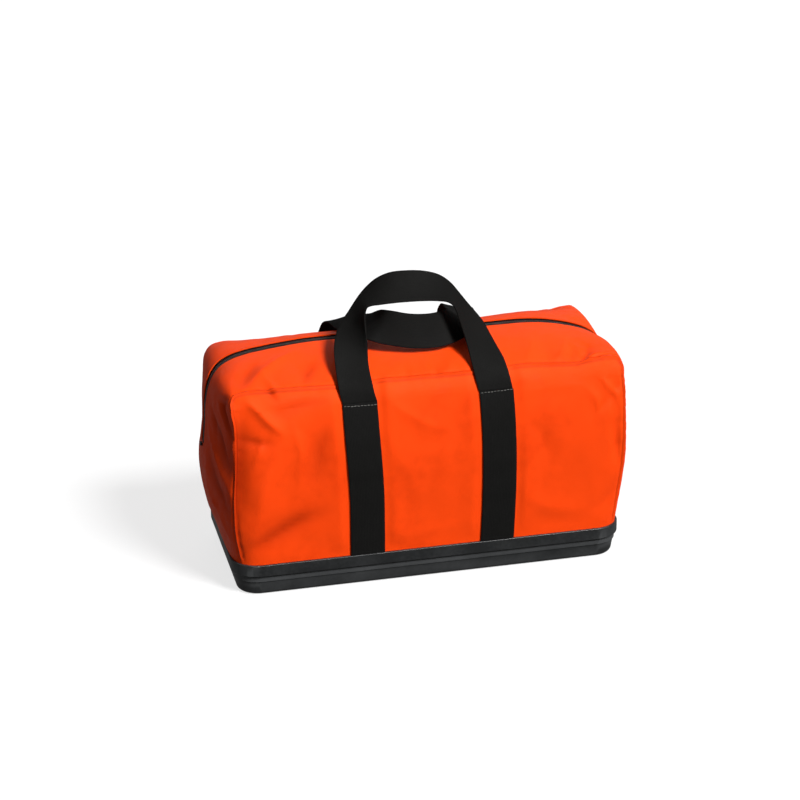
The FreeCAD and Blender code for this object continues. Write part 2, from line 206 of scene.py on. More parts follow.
def nearest(points: np.ndarray, line: np.ndarray) -> Tuple[np.ndarray, np.ndarray]:
    """How far each point is from a line, and how far along the line that is.

    Args:
        points: The points.
        line: The line's points.

    Returns:
        The gaps and the lengths along the line.
    """
    gap = np.full(len(points), FAR)
    along = np.zeros(len(points))
    for a, b, start in zip(line[:-1], line[1:], arc_length(line)[:-1]):
        step = b - a
        t = np.clip((points - a) @ step / (step @ step), 0.0, 1.0)
        far = np.linalg.norm(points - a - t[:, None] * step, axis=1)
        closer = far < gap
        gap[closer] = far[closer]
        along[closer] = start + t[closer] * np.linalg.norm(step)
    return gap, along


def quads(rows: int, columns: int, start: int = 0, across: bool = False) -> np.ndarray:
    """The faces of a grid of points.

    Args:
        rows: How many rows of points there are.
        columns: How many points each row has.
        start: The first point's number.
        across: True to go round each face the other way.

    Returns:
        Four point numbers for each face.
    """
    n = np.arange(rows * columns).reshape(rows, columns) + start
    a, b, c, d = n[:-1, :-1], n[1:, :-1], n[1:, 1:], n[:-1, 1:]
    return np.stack([a, d, c, b] if across else [a, b, c, d], axis=-1).reshape(-1, 4)


# ---- Blender ---------------------------------------------------------------------------------------
def deselect() -> None:
    """Leaves nothing selected."""
    for obj in bpy.context.selected_objects:
        obj.select_set(False)


def take(obj: bpy.types.Object) -> None:
    """Makes one object the selected and active one."""
    deselect()
    obj.select_set(True)
    bpy.context.view_layer.objects.active = obj


def modify(obj: bpy.types.Object, kind: str, **settings: object) -> None:
    """Adds a modifier and applies it.

    Args:
        obj: The object.
        kind: The modifier's type.
        **settings: Its settings.
    """
    take(obj)
    modifier = obj.modifiers.new(kind.title(), kind)
    for key, value in settings.items():
        setattr(modifier, key, value)
    bpy.ops.object.modifier_apply(modifier=modifier.name)


def shade(obj: bpy.types.Object, degrees: float = 40.0) -> None:
    """Shades an object smooth, but for edges sharper than an angle."""
    take(obj)
    bpy.ops.object.shade_smooth_by_angle(angle=math.radians(degrees))


def make_mesh(name: str, points: np.ndarray, faces: Sequence[Sequence[int]],
              uv: Optional[np.ndarray] = None) -> bpy.types.Object:
    """Makes a mesh object at the origin.

    Args:
        name: Its name.
        points: Its points, in millimetres.
        faces: Its faces, as point numbers.
        uv: A place in the cloth's own plane for each point, in metres.

    Returns:
        The object.
    """
    mesh = bpy.data.meshes.new(name)
    mesh.from_pydata((np.asarray(points) * MM).tolist(), [], [list(f) for f in faces])
    if uv is not None:
        layer = mesh.uv_layers.new(name="UVMap")
        corner = np.empty(len(mesh.loops), np.int32)
        mesh.loops.foreach_get("vertex_index", corner)
        layer.data.foreach_set("uv", uv[corner].astype(np.float32).ravel())
    mesh.update()
    obj = bpy.data.objects.new(name, mesh)
    bpy.context.scene.collection.objects.link(obj)
    return obj


def dress(obj: bpy.types.Object, material: bpy.types.Material) -> bpy.types.Object:
    """Gives an object its one finish.

    Args:
        obj: The object.
        material: Its material.

    Returns:
        The object.
    """
    obj.data.materials.clear()
    obj.data.materials.append(material)
    return obj


# ---- finishes --------------------------------------------------------------------------------------
class Bench:
    """Puts the nodes of one material together."""

    def __init__(self, name: str) -> None:
        """Starts a material with its principled shader."""
        self.material = bpy.data.materials.new(name)
        self.material.use_nodes = True
        self.tree = self.material.node_tree
        self.shader = self.tree.nodes["Principled BSDF"]

    def add(self, kind: str, inputs: Optional[Dict[object, object]] = None,
            **props: object) -> bpy.types.Node:
        """Adds a node.

        Args:
            kind: The node's type.
            inputs: Values or linked sockets by input name or number.
            **props: The node's own settings.

        Returns:
            The node.
        """
        node = self.tree.nodes.new(kind)
        for key, value in props.items():
            setattr(node, key, value)
        for key, value in (inputs or {}).items():
            if isinstance(value, bpy.types.NodeSocket):
                self.tree.links.new(value, node.inputs[key])
            else:
                node.inputs[key].default_value = value
        return node

    def math(self, operation: str, a: object, b: object = 0.0) -> bpy.types.NodeSocket:
        """Adds a sum and gives its result."""
        return self.add("ShaderNodeMath", {0: a, 1: b}, operation=operation).outputs[0]

    def noise(self, scale: float, detail: float = 3.0) -> bpy.types.NodeSocket:
        """Adds soft noise in the object's own space and gives its height."""
        inputs = {"Vector": self.place(), "Scale": scale, "Detail": detail}
        return self.add("ShaderNodeTexNoise", inputs).outputs["Fac"]

    def place(self) -> bpy.types.NodeSocket:
        """The place on the object, in metres."""
        return self.add("ShaderNodeTexCoord").outputs["Object"]

    def ramp(self, height: bpy.types.NodeSocket,
             stops: Sequence[Tuple[float, Colour]]) -> bpy.types.NodeSocket:
        """Turns a height into a colour.

        Args:
            height: From 0 to 1.
            stops: Places and colours between them.

        Returns:
            The colour.
        """
        node = self.add("ShaderNodeValToRGB", {"Fac": height})
        ramp = node.color_ramp
        while len(ramp.elements) < len(stops):
            ramp.elements.new(0.5)
        for element, (position, colour) in zip(ramp.elements, stops):
            element.position = position
            element.color = (*colour, 1.0)
        return node.outputs["Color"]

    def spread(self, height: bpy.types.NodeSocket, low: float, high: float,
               start: float = 0.0, end: float = 1.0) -> bpy.types.NodeSocket:
        """Maps a height from start..end to low..high."""
        return self.add("ShaderNodeMapRange", {"Value": height, 1: start, 2: end, 3: low, 4: high}).outputs[0]

    def bump(self, height: bpy.types.NodeSocket, distance: float, strength: float = 1.0,
             under: Optional[bpy.types.NodeSocket] = None) -> bpy.types.NodeSocket:
        """Adds relief.

        Args:
            height: From 0 to 1.
            distance: How deep 1 is, in metres.
            strength: How much of it shows.
            under: Relief that it lies on.

        Returns:
            The normal.
        """
        inputs = {"Height": height, "Distance": distance, "Strength": strength}
        if under is not None:
            inputs["Normal"] = under
        return self.add("ShaderNodeBump", inputs).outputs["Normal"]

    def finish(self, **sockets: object) -> bpy.types.Material:
        """Sets the shader's sockets, by names with _ for a space, and gives the material."""
        for key, value in sockets.items():
            socket = self.shader.inputs[key.replace("_", " ")]
            if isinstance(value, bpy.types.NodeSocket):
                self.tree.links.new(value, socket)
            else:
                socket.default_value = value
        return self.material


@dataclass(frozen=True)
class WovenCloth:
    """Coated nylon: a fine plain weave with a soft sheen.

    Attributes:
        name: The material's name.
        deep: Darker colour in the cloth's uneven tone, at random places.
        bright: Colour of clean cloth.
        shadow: Painted shadow colour, put in the dips of creases and in a line beside each seam.
        pitch: Threads' spacing, in metres.
    """

    name: str = "orange_nylon"
    deep: Colour = (0.70, 0.040, 0.0025)
    bright: Colour = (0.86, 0.056, 0.0035)
    shadow: Colour = (0.26, 0.011, 0.0006)
    pitch: float = 0.0011

    def make(self) -> bpy.types.Material:
        """Makes the material."""
        bench = Bench(self.name)
        uv = bench.add("ShaderNodeUVMap", uv_map="UVMap").outputs[0]
        parts = bench.add("ShaderNodeSeparateXYZ", {0: uv})
        turn = 2.0 * math.pi / self.pitch
        warp = bench.math("SINE", bench.math("MULTIPLY", parts.outputs[0], turn))
        weft = bench.math("SINE", bench.math("MULTIPLY", parts.outputs[1], turn))
        weave = bench.spread(bench.math("MULTIPLY", warp, weft), 0.0, 1.0, -1.0, 1.0)
        slub = bench.noise(900.0, 2.0)
        broad = bench.noise(7.0, 4.0)
        blotch = bench.noise(45.0, 3.0)
        tone = bench.math("ADD", bench.math("MULTIPLY", broad, 0.6), bench.math("MULTIPLY", blotch, 0.4))
        tone = bench.math("ADD", tone, bench.spread(weave, -0.06, 0.06))
        colour = bench.ramp(tone, [(0.22, self.deep), (0.50, self.bright), (1.0, self.bright)])
        # Painted shade: the colour is mixed towards the shadow colour in the dips of creases and beside
        # seams.
        hollow = bench.add("ShaderNodeAttribute", attribute_name="hollow").outputs["Fac"]
        colour = bench.add("ShaderNodeMix", {"Factor": hollow, 6: colour, 7: (*self.shadow, 1.0)},
                           data_type="RGBA").outputs[2]
        rough = bench.spread(blotch, 0.44, 0.60, 0.3, 0.7)
        relief = bench.bump(broad, 0.0012, 0.5)
        relief = bench.bump(blotch, 0.0007, 0.5, relief)
        relief = bench.bump(slub, 0.00012, 0.4, relief)
        relief = bench.bump(weave, 0.00016, 0.7, relief)
        return bench.finish(Base_Color=colour, Roughness=rough, Normal=relief, Specular_IOR_Level=0.2,
                            Specular_Tint=(1.0, 0.42, 0.24, 1.0))


@dataclass(frozen=True)
class Webbing:
    """Heavy black webbing, ribbed across with a herringbone of fine warps.

    Attributes:
        name: The material's name.
        dark: Colour between the threads.
        light: Colour on top of them.
        rib: Spacing of the cross ribs, in metres.
        warp: Spacing of the lengthwise threads, in metres.
    """

    name: str = "webbing"
    dark: Colour = (0.0016, 0.0015, 0.0014)
    light: Colour = (0.0066, 0.0064, 0.0058)
    rib: float = 0.0016
    warp: float = 0.0023

    def make(self) -> bpy.types.Material:
        """Makes the material."""
        bench = Bench(self.name)
        uv = bench.add("ShaderNodeUVMap", uv_map="UVMap").outputs[0]
        parts = bench.add("ShaderNodeSeparateXYZ", {0: uv})
        across = bench.math("MULTIPLY", parts.outputs[0], 2.0 * math.pi / self.warp)
        zigzag = bench.math("MULTIPLY", bench.math("SINE", across), 0.7)
        along = bench.math("ADD", bench.math("MULTIPLY", parts.outputs[1], 2.0 * math.pi / self.rib), zigzag)
        ribs = bench.spread(bench.math("SINE", along), 0.0, 1.0, -1.0, 1.0)
        warps = bench.spread(bench.math("COSINE", across), 0.0, 1.0, -1.0, 1.0)
        weave = bench.math("MULTIPLY", bench.math("POWER", ribs, 0.6), bench.spread(warps, 0.55, 1.0))
        fuzz = bench.noise(1500.0, 2.0)
        wear = bench.noise(18.0, 4.0)
        tone = bench.math("ADD", bench.math("MULTIPLY", weave, 0.6), bench.math("MULTIPLY", wear, 0.4))
        colour = bench.ramp(tone, [(0.15, self.dark), (0.85, self.light)])
        relief = bench.bump(fuzz, 0.00015, 0.4)
        relief = bench.bump(weave, 0.00035, 0.8, relief)
        rough = bench.spread(wear, 0.62, 0.82, 0.3, 0.7)
        return bench.finish(Base_Color=colour, Roughness=rough, Normal=relief, Specular_IOR_Level=0.11)


@dataclass(frozen=True)
class MouldedPlastic:
    """Black moulded plastic with a leathery grain, and lighter edges that are partly scuffed and partly
    painted highlight.

    Attributes:
        name: The material's name.
        base: Colour of the moulding.
        scuff_and_highlight: Lighter colour on the edges and in random patches, partly scuffs and partly
            painted highlight.
        grain: How many grains there are in a metre.
        depth: How deep the grain is, in metres.
        rough: Roughness from the smoothest to the most scuffed.
    """

    name: str
    base: Colour
    scuff_and_highlight: Colour
    grain: float = 900.0
    depth: float = 0.00012
    rough: Tuple[float, float] = (0.30, 0.46)

    def make(self) -> bpy.types.Material:
        """Makes the material."""
        bench = Bench(self.name)
        inputs = {"Vector": bench.place(), "Scale": self.grain}
        cells = bench.add("ShaderNodeTexVoronoi", inputs).outputs["Distance"]
        wear = bench.noise(22.0, 6.0)
        fine = bench.noise(240.0, 4.0)
        edge = bench.add("ShaderNodeNewGeometry").outputs["Pointiness"]
        # Painted highlight and wear: convex edges, found from pointiness, get the lighter colour.
        edge_wear_and_highlight = bench.spread(edge, 0.0, 0.55, 0.505, 0.56)
        wear_and_highlight = bench.math("ADD", edge_wear_and_highlight, bench.math("MULTIPLY", wear, 0.5))
        wear_and_highlight = bench.math("ADD", wear_and_highlight, bench.math("MULTIPLY", fine, 0.25))
        colour = bench.ramp(wear_and_highlight, [(0.38, self.base), (0.95, self.scuff_and_highlight)])
        relief = bench.bump(wear, 0.0006, 0.35)
        relief = bench.bump(cells, self.depth, 0.5, relief)
        uneven = bench.math("ADD", wear, bench.math("MULTIPLY", fine, 0.5))
        rough = bench.spread(uneven, *self.rough, 0.5, 1.0)
        return bench.finish(Base_Color=colour, Roughness=rough, Normal=relief, Specular_IOR_Level=0.5)


@dataclass(frozen=True)
class Metal:
    """Black-lacquered metal, with small bright chips.

    Attributes:
        name: The material's name.
        lacquer: Colour of the lacquer.
        bare: Colour of the metal.
    """

    name: str = "zip_metal"
    lacquer: Colour = (0.018, 0.018, 0.019)
    bare: Colour = (0.42, 0.41, 0.40)

    def make(self) -> bpy.types.Material:
        """Makes the material."""
        bench = Bench(self.name)
        chips = bench.noise(1400.0, 5.0)
        colour = bench.ramp(chips, [(0.60, self.lacquer), (0.74, self.bare)])
        rough = bench.spread(chips, 0.25, 0.45, 0.3, 0.7)
        return bench.finish(Base_Color=colour, Roughness=rough, Metallic=0.6,
                            Normal=bench.bump(chips, 0.00003, 0.4))


@dataclass(frozen=True)
class Thread:
    """Sewing thread, twisted, seen as a slanting ripple on each stitch.

    Attributes:
        name: The material's name.
        dark: Colour in the twist.
        light: Colour on it.
    """

    name: str
    dark: Tuple[float, float, float]
    light: Tuple[float, float, float]

    def make(self) -> bpy.types.Material:
        """Makes the material."""
        bench = Bench(self.name)
        parts = bench.add("ShaderNodeSeparateXYZ", {0: bench.place()})
        slant = bench.math("ADD", bench.math("ADD", parts.outputs[0], parts.outputs[1]), parts.outputs[2])
        twist = bench.math("SINE", bench.math("MULTIPLY", slant, 2.0 * math.pi / 0.0007))
        colour = bench.ramp(bench.spread(twist, 0.0, 1.0, -1.0, 1.0), [(0.1, self.dark), (0.9, self.light)])
        fuzz = bench.noise(2500.0, 2.0)
        return bench.finish(Base_Color=colour, Roughness=bench.spread(fuzz, 0.5, 0.75),
                            Normal=bench.bump(twist, 0.0001, 0.5), Specular_IOR_Level=0.3)


@dataclass
class Finishes:
    """Every finish of the bag, made once."""

    nylon: bpy.types.Material = field(default_factory=lambda: WovenCloth().make())
    webbing: bpy.types.Material = field(default_factory=lambda: Webbing().make())
    tape: bpy.types.Material = field(default_factory=lambda: Webbing(
        "zip_tape", (0.004, 0.004, 0.004), (0.014, 0.014, 0.015), 0.0009, 0.0011).make())
    base: bpy.types.Material = field(default_factory=lambda: MouldedPlastic(
        "base_plastic", (0.010, 0.0108, 0.0112), (0.046, 0.048, 0.0495)).make())
    board: bpy.types.Material = field(default_factory=lambda: MouldedPlastic(
        "floor_board", (0.03, 0.03, 0.031), (0.07, 0.07, 0.07), 500.0, 0.0002).make())
    teeth: bpy.types.Material = field(default_factory=lambda: MouldedPlastic(
        "zip_teeth", (0.009, 0.009, 0.010), (0.03, 0.03, 0.03), 2500.0, 0.00004, (0.25, 0.4)).make())
    metal: bpy.types.Material = field(default_factory=lambda: Metal().make())
    grey_thread: bpy.types.Material = field(default_factory=lambda: Thread(
        "grey_thread", (0.10, 0.10, 0.095), (0.30, 0.29, 0.27)).make())


# ---- the sewn body ---------------------------------------------------------------------------------
@dataclass
class Crease:
    """A fold in the cloth, along a line on its surface.

    Attributes:
        line: Points that it passes through.
        height: How far it stands out, or in if below 0.
        width: Half its width.
        pinched: True for a narrow ridge with a dip along each side.
        gain: What its height is multiplied by.
        tuck: How much painted shade its dips get for each millimetre of depth.
    """

    line: Knots
    height: float
    width: float
    pinched: bool = False
    gain: float = 1.0
    tuck: float = 0.015

    def lift(self, points: np.ndarray) -> np.ndarray:
        """How far it lifts each point.

        Args:
            points: Points of the cloth.

        Returns:
            Heights along the cloth's outward direction.
        """
        knots = np.array(self.line, float)
        run = arc_length(knots)
        near = np.flatnonzero(np.all((points > knots.min(axis=0) - 4 * self.width)
                                     & (points < knots.max(axis=0) + 4 * self.width), axis=1))
        out = np.zeros(len(points))
        if not len(near):
            return out
        best, where = nearest(points[near], knots)
        share = np.sin(np.pi * np.clip(0.08 + 0.84 * where / run[-1], 0.0, 1.0))
        r = best / self.width
        shape = (1.0 - 0.8 * r) * np.exp(-r) if self.pinched else np.exp(-r**1.35)
        out[near] = self.height * share * shape
        return out


@dataclass(frozen=True)
class Seam:
    """The lie of the cloth beside a seam, in millimetres.

    Attributes:
        ridge: How far the seam stands out.
        ridge_width: Half its width.
        groove: How deep the cloth is drawn in beside it.
        groove_at: How far from the seam that is.
        groove_width: Half the groove's width.
        pucker: How far the cloth puckers past the groove.
        pucker_at: How far from the seam that is.
        pucker_width: Half the puckers' width.
        pucker_pitch: The puckers' spacing along the seam.
        drift_pitch: How far along the seam the puckers come and go.
        dark_at: How far from the seam the shadow colour is.
        dark_width: Half its width.
    """

    ridge: float = 1.3
    ridge_width: float = 1.6
    groove: float = 0.7
    groove_at: float = 3.8
    groove_width: float = 1.8
    pucker: float = 0.55
    pucker_at: float = 6.0
    pucker_width: float = 5.0
    pucker_pitch: float = 13.0
    drift_pitch: float = 41.0
    dark_at: float = 2.6
    dark_width: float = 1.2


@dataclass
class SewnBody:
    """The nylon body, from its hem in the tray to the edges along the zip.

    Attributes:
        hem_z: Bottom edge, inside the rim band.
        fold_z: Where the top folds open.
        slot_half: Half the gap along the zip.
        slot_end_z: Where the gap ends on each end of the bag.
        thickness: Thickness of the cloth.
        cell: Size of the mesh's cells.
        still_x: A place near the end of the bag; not used.
        moving_x: Where the strips inside the fold are parted into the middle one and the end ones.
        upright_z: Below this the front and back are upright.
        depth_half: Half the depth there.
        fold_inset: How far in they have come at the fold.
        swell: How far they swell out in the middle.
        strap_x: Where the straps' middles are.
        strap_half: Half a strap's width.
        near: Points closer than this are one.
        facing_inset: How far inside the cloth the strips along the folds are.
        seam: The lie of the cloth beside a seam.
        points: The shell's points.
        uv: Their places in the cloth, in metres.
        faces: Its faces, as point numbers.
        corner_uv: A place in the cloth for each corner of each face.
        groups: The piece that each face goes to.
        hollow: How much painted shade each point gets, from 0 to 1, in the dips of creases and beside seams.
        turned: For each face of the bag, the rows of points along its fold.
    """

    finishes: Finishes
    hem_z: float = 33.5
    fold_z: float = 288.3
    slot_half: float = 11.5
    slot_end_z: float = 200.0
    thickness: float = 1.7
    cell: float = 4.2
    still_x: float = 300.0
    moving_x: float = 212.0
    upright_z: float = 170.0
    depth_half: float = 131.4
    fold_inset: float = 9.0
    swell: float = 3.0
    strap_x: float = 99.3
    strap_half: float = 25.4
    near: float = 0.02
    facing_inset: float = 2.6
    seam: Seam = Seam()
    points: np.ndarray = field(init=False, repr=False)
    uv: np.ndarray = field(init=False, repr=False)
    faces: List[List[int]] = field(init=False, repr=False)
    corner_uv: List[List[np.ndarray]] = field(init=False, repr=False)
    groups: List[str] = field(init=False, repr=False)
    hollow: np.ndarray = field(init=False, repr=False)
    turned: Dict[Face, List[np.ndarray]] = field(init=False, repr=False)

    # -- outlines ----------------------------------------------------------------------------------
    def end_x(self, side: Side, z: np.ndarray) -> np.ndarray:
        """How far out the middle of an end is at each height."""
        knots = [(33.5, 296.9), (50, 301), (81, 309.5), (105, 316.5), (138, 322.5), (168, 325.5),
                 (205, 322), (235, 318.5), (262, 316), (280, 313), (300, 308)]
        if side is Side.LEFT:
            knots = [(33.5, 296.9), (50, 301), (81, 310), (105, 317), (138, 323), (168, 325.8),
                     (201, 320.5), (235, 317), (262, 315), (280, 312), (300, 307)]
        return through(knots, z)

    def corner_x(self, side: Side, z: np.ndarray) -> np.ndarray:
        """How far out the corner seams are at each height."""
        if side is Side.LEFT:
            knots = [(33.5, 296.9), (60, 297), (110, 298.5), (160, 297), (200, 294.5), (240, 292),
                     (268, 291.5), (288.3, 294), (300, 295)]
        else:
            knots = [(33.5, 296.9), (62, 297), (112, 298), (161, 300), (210, 301), (258, 300), (288.3, 298),
                     (300, 296)]
        return through(knots, z)

    def face_y(self, z: np.ndarray) -> np.ndarray:
        """How far out the front and back are at each height, at their corners."""
        above = np.clip((z - self.upright_z) / (self.fold_z - self.upright_z), 0.0, None)
        return self.depth_half - self.fold_inset * above**2.8

    def face_swell(self, z: np.ndarray) -> np.ndarray:
        """How far the front and back swell out in the middle of their length."""
        return self.swell * np.sin(np.pi * np.clip((z - 50.0) / (self.fold_z - 50.0), 0.0, 1.0))

    def face_at(self, x: np.ndarray, z: np.ndarray) -> np.ndarray:
        """How far out the front and back are at a place on them, away from the corners."""
        return self.face_y(z) + self.face_swell(z) * (1.0 - (x / 297.0) ** 2)

    def strap_shift(self, side: Side, face: Face, z: np.ndarray) -> np.ndarray:
        """How far a strap strays from its line as it goes up."""
        if face is Face.BACK:
            return np.zeros_like(z)
        if side is Side.LEFT:
            return -6.5 * smoothstep((z - 120.0) / 168.0)
        return 3.0 * np.sin(np.pi * np.clip((z - 40.0) / 250.0, 0.0, 1.0))

    def quarter_ring(self, side: Side, z: float) -> Tuple[np.ndarray, int]:
        """A quarter of the body's outline at one height, from the middle of the front round to an end.

        Args:
            side: The end that it goes to.
            z: The height.

        Returns:
            Points 1 mm or so apart, and the number of the one on the corner seam.
        """
        height = np.array([z])
        kx, ky = self.corner_x(side, height)[0], self.face_y(height)[0]
        ex = self.end_x(side, height)[0]
        xs = np.linspace(0.0, kx, 300)
        front = np.stack([xs, -self.face_at(xs, height)], axis=1)
        front[:, 1] += (front[-1, 1] + ky) * -1.0 * (xs / kx) ** 2
        ys = np.linspace(-ky, 0.0, 131)
        end = np.stack([ex - (ex - kx) * (ys / ky) ** 2, ys], axis=1)
        line = np.concatenate([front, end[1:]])
        corner = len(front) - 1
        spread = float(np.interp(z, [33.5, 52.0, 150.0, 300.0], [30.0, 28.0, 7.0, 4.0]))
        mirrored_front = line[1:120][::-1] * [-1, 1]
        mirrored_end = line[-120:-1][::-1] * [1, -1]
        long = np.concatenate([mirrored_front, line, mirrored_end])
        reach = np.arange(-110, 111)
        kernel = np.exp(-0.5 * (reach / spread) ** 2)
        kernel /= kernel.sum()
        soft = np.stack([np.convolve(long[:, k], kernel, mode="same") for k in range(2)], axis=1)
        return soft[119:119 + len(line)], corner

    def seam_line(self, side: Side, face: Face) -> np.ndarray:
        """The seam between the front or back and the top, from its middle to the fold at the corner."""
        ring, corner = self.quarter_ring(side, self.fold_z)
        kx, ky = abs(ring[corner][0]), abs(ring[corner][1])
        if face is Face.FRONT and side is Side.LEFT:
            knots = [(0, 108.4, 313), (22, 108.2, 313), (60, 108.4, 312.5), (84, 108.4, 312.5),
                     (112, 107.4, 309.5), (142, 107.4, 309), (172, 108.4, 311), (213, 109, 313),
                     (250, 109, 314), (276, 109.5, 314), (288, 111, 311), (293, 115, 302),
                     (kx, ky, self.fold_z)]
        elif face is Face.FRONT:
            knots = [(0, 108.4, 313), (22, 108.6, 312.5), (58, 108.4, 312), (99, 107.8, 313.5),
                     (124, 108, 315), (164, 108.5, 316.5), (200, 109, 314), (228, 109.4, 312.5),
                     (250, 109, 315), (276, 109, 317.5), (290, 110, 315.5), (297, 115, 304),
                     (kx, ky, self.fold_z)]
        elif side is Side.LEFT:
            knots = [(0, 108.4, 313), (60, 108.4, 312), (99, 107.5, 310), (145, 108.4, 309),
                     (192, 108.4, 310), (238, 109, 314), (268, 109.4, 316), (284, 111, 312),
                     (292, 115, 303), (kx, ky, self.fold_z)]
        else:
            knots = [(0, 108.4, 313), (60, 108.4, 313), (99, 107.5, 312), (145, 108.4, 314),
                     (178, 108.4, 316), (211, 108.8, 318), (244, 109, 321), (274, 109, 325),
                     (290, 110, 324), (297.5, 115, 308), (kx, ky, self.fold_z)]
        return spline(knots)

    def zip_line(self, side: Side) -> np.ndarray:
        """The cloth's edge along the zip, from the middle of the top to the fold's height on an end."""
        ex = self.end_x(side, np.array([self.fold_z]))[0]
        if side is Side.LEFT:
            knots = [(0, 347), (60, 347.3), (118, 347.8), (161, 346.8), (195, 344), (226, 340.5),
                     (252, 336.5), (275, 330), (293, 319), (304, 304), (ex, self.fold_z)]
        else:
            knots = [(0, 347), (60, 346.8), (110, 347.2), (140, 347.5), (172, 347.5), (203, 345),
                     (235, 339), (258, 332.5), (278, 324), (296, 311), (ex, self.fold_z)]
        return spline([(x, self.slot_half, z) for x, z in knots])

    # -- mesh --------------------------------------------------------------------------------------
    def loft(self) -> None:
        """Works out the whole shell: its points, their places in the cloth, its faces and their groups."""
        self.turned = {face: [] for face in Face}
        points: List[np.ndarray] = []
        uvs: List[np.ndarray] = []
        faces: List[Tuple[int, int, int, int]] = []
        groups: List[str] = []

        def grid(place: np.ndarray, cloth: np.ndarray, group: str) -> None:
            """Adds a grid of points and its faces."""
            rows, columns = place.shape[:2]
            start = sum(len(p) for p in points)
            points.append(place.reshape(-1, 3))
            uvs.append(cloth.reshape(-1, 2))
            added = quads(rows, columns, start)
            faces.extend(map(tuple, added))
            groups.extend([group] * len(added))

        along = graded(325.0, self.cell, 1.6, 10.0)
        across = graded(118.0, self.cell, 1.6, 10.0)[::-1]
        across = 1.0 - across
        rise = np.concatenate([1.0 - graded(100.0, self.cell, 2.4, 20.0)[::-1]])
        low = self.hem_z + rise * (self.slot_end_z - self.hem_z)
        high = np.linspace(self.slot_end_z, self.fold_z,
                           round((self.fold_z - self.slot_end_z) / self.cell) + 1)
        heights = np.concatenate([low, high[1:]])
        edge = len(low) - 1

        for side in Side:
            rings = [self.quarter_ring(side, z) for z in heights]
            faces_of_ring, ends, middles = [], [], []
            for (ring, corner), z in zip(rings, heights):
                ring3 = np.concatenate([ring, np.full((len(ring), 1), z)], axis=1)
                front = ring3[:corner + 1]
                end = ring3[corner:]
                cut = np.interp(-self.slot_half, end[:, 1], np.arange(len(end)))
                whole = int(cut)
                lip = end[whole] + (end[min(whole + 1, len(end) - 1)] - end[whole]) * (cut - whole)
                faces_of_ring.append(at_fractions(front, along))
                ends.append(at_fractions(np.concatenate([end[:whole + 1], lip[None]]), across))
                middles.append(np.linspace(lip, [end[-1][0], 0.0, z], 3))
            for face in Face:
                turn = np.array([side.value, -face.value, 1.0])
                front = np.array(faces_of_ring) * turn
                end = np.array(ends) * turn
                middle = np.array(middles) * turn
                run_f, run_e = (np.cumsum(np.concatenate(
                    [np.zeros((len(heights), 1)), np.linalg.norm(np.diff(part, axis=1), axis=2)],
                    axis=1), axis=1) for part in (front, end))
                tall = np.repeat(heights[:, None], front.shape[1], axis=1)
                grid(front, np.stack([run_f * side.value, tall], axis=-1) * MM, "lower")
                tall = np.repeat(heights[:, None], end.shape[1], axis=1)
                grid(end, np.stack([run_e * side.value + 1.0, tall], axis=-1) * MM, "lower")
                middle_low = middle[:edge + 1]
                tall = np.repeat(heights[:edge + 1, None], 3, axis=1)
                grid(middle_low, np.stack([middle_low[..., 1], tall], axis=-1) * MM, "lower")
                self.loft_top(grid, side, face, front[-1], end[-1], along, across)
        self.weld(np.concatenate(points), np.concatenate(uvs), faces, groups)

    def loft_top(self, grid, side: Side, face: Face, fold: np.ndarray, end: np.ndarray,
                 along: np.ndarray, across: np.ndarray) -> None:
        """Adds a quarter of what is above the fold.

        Args:
            grid: Adds a grid of points to the shell.
            side: Left or right.
            face: Front or back.
            fold: The front's or back's points along the fold.
            end: The end's points at the fold's height, from the corner seam to the zip.
            along: Fractions along the fold.
            across: Fractions from the seam to the zip.
        """
        turn = np.array([side.value, face.value, 1.0])
        seam = at_fractions(self.seam_line(side, face), along) * turn
        seam[-1] = fold[-1]
        edge = at_fractions(self.zip_line(side), along) * turn
        edge[-1] = end[-1]
        name = f"{face.name.lower()}_{side.name.lower()}"
        steps = np.array([0.0, 0.2, 0.4, 0.6, 0.78, 0.9, 1.0])
        strip = fold[None] + (seam - fold)[None] * steps[:, None, None]
        tall = np.linalg.norm(seam - fold, axis=1)
        round_over = 0.30 * steps[:, None] * (1.0 - steps[:, None]) * tall[None]
        strip[..., 1] += face.value * 0.88 * round_over
        strip[..., 2] += 0.48 * round_over
        self.turned[face].append(strip[:3] if side is Side.RIGHT else strip[:3, ::-1])
        run = arc_length(fold) * side.value
        rises = steps[:, None] * np.linalg.norm(seam - fold, axis=1)[None] + self.fold_z
        grid(strip, np.stack([np.repeat(run[None], len(steps), axis=0), rises], axis=-1) * MM, name)
        middle = (seam + edge) / 2.0
        tangent = unit(np.gradient(middle, axis=0)) * side.value
        outward = unit(np.cross(tangent, unit(edge - seam))) * -face.value
        crown = 7.0 * 4.0 * across * (1.0 - across)
        top = seam[None] + (edge - seam)[None] * across[:, None, None] + outward[None] * crown[:, None, None]
        settle = smoothstep((along - 0.80) / 0.20)
        top = top + (end - top[:, -1])[:, None] * settle[None, :, None]
        run = arc_length(seam) * side.value
        wide = across * 105.0
        cloth = np.stack([np.repeat(run[None], len(across), axis=0),
                          np.repeat(wide[:, None], len(run), axis=1) + 400.0], axis=-1)
        grid(top, cloth * MM, name)

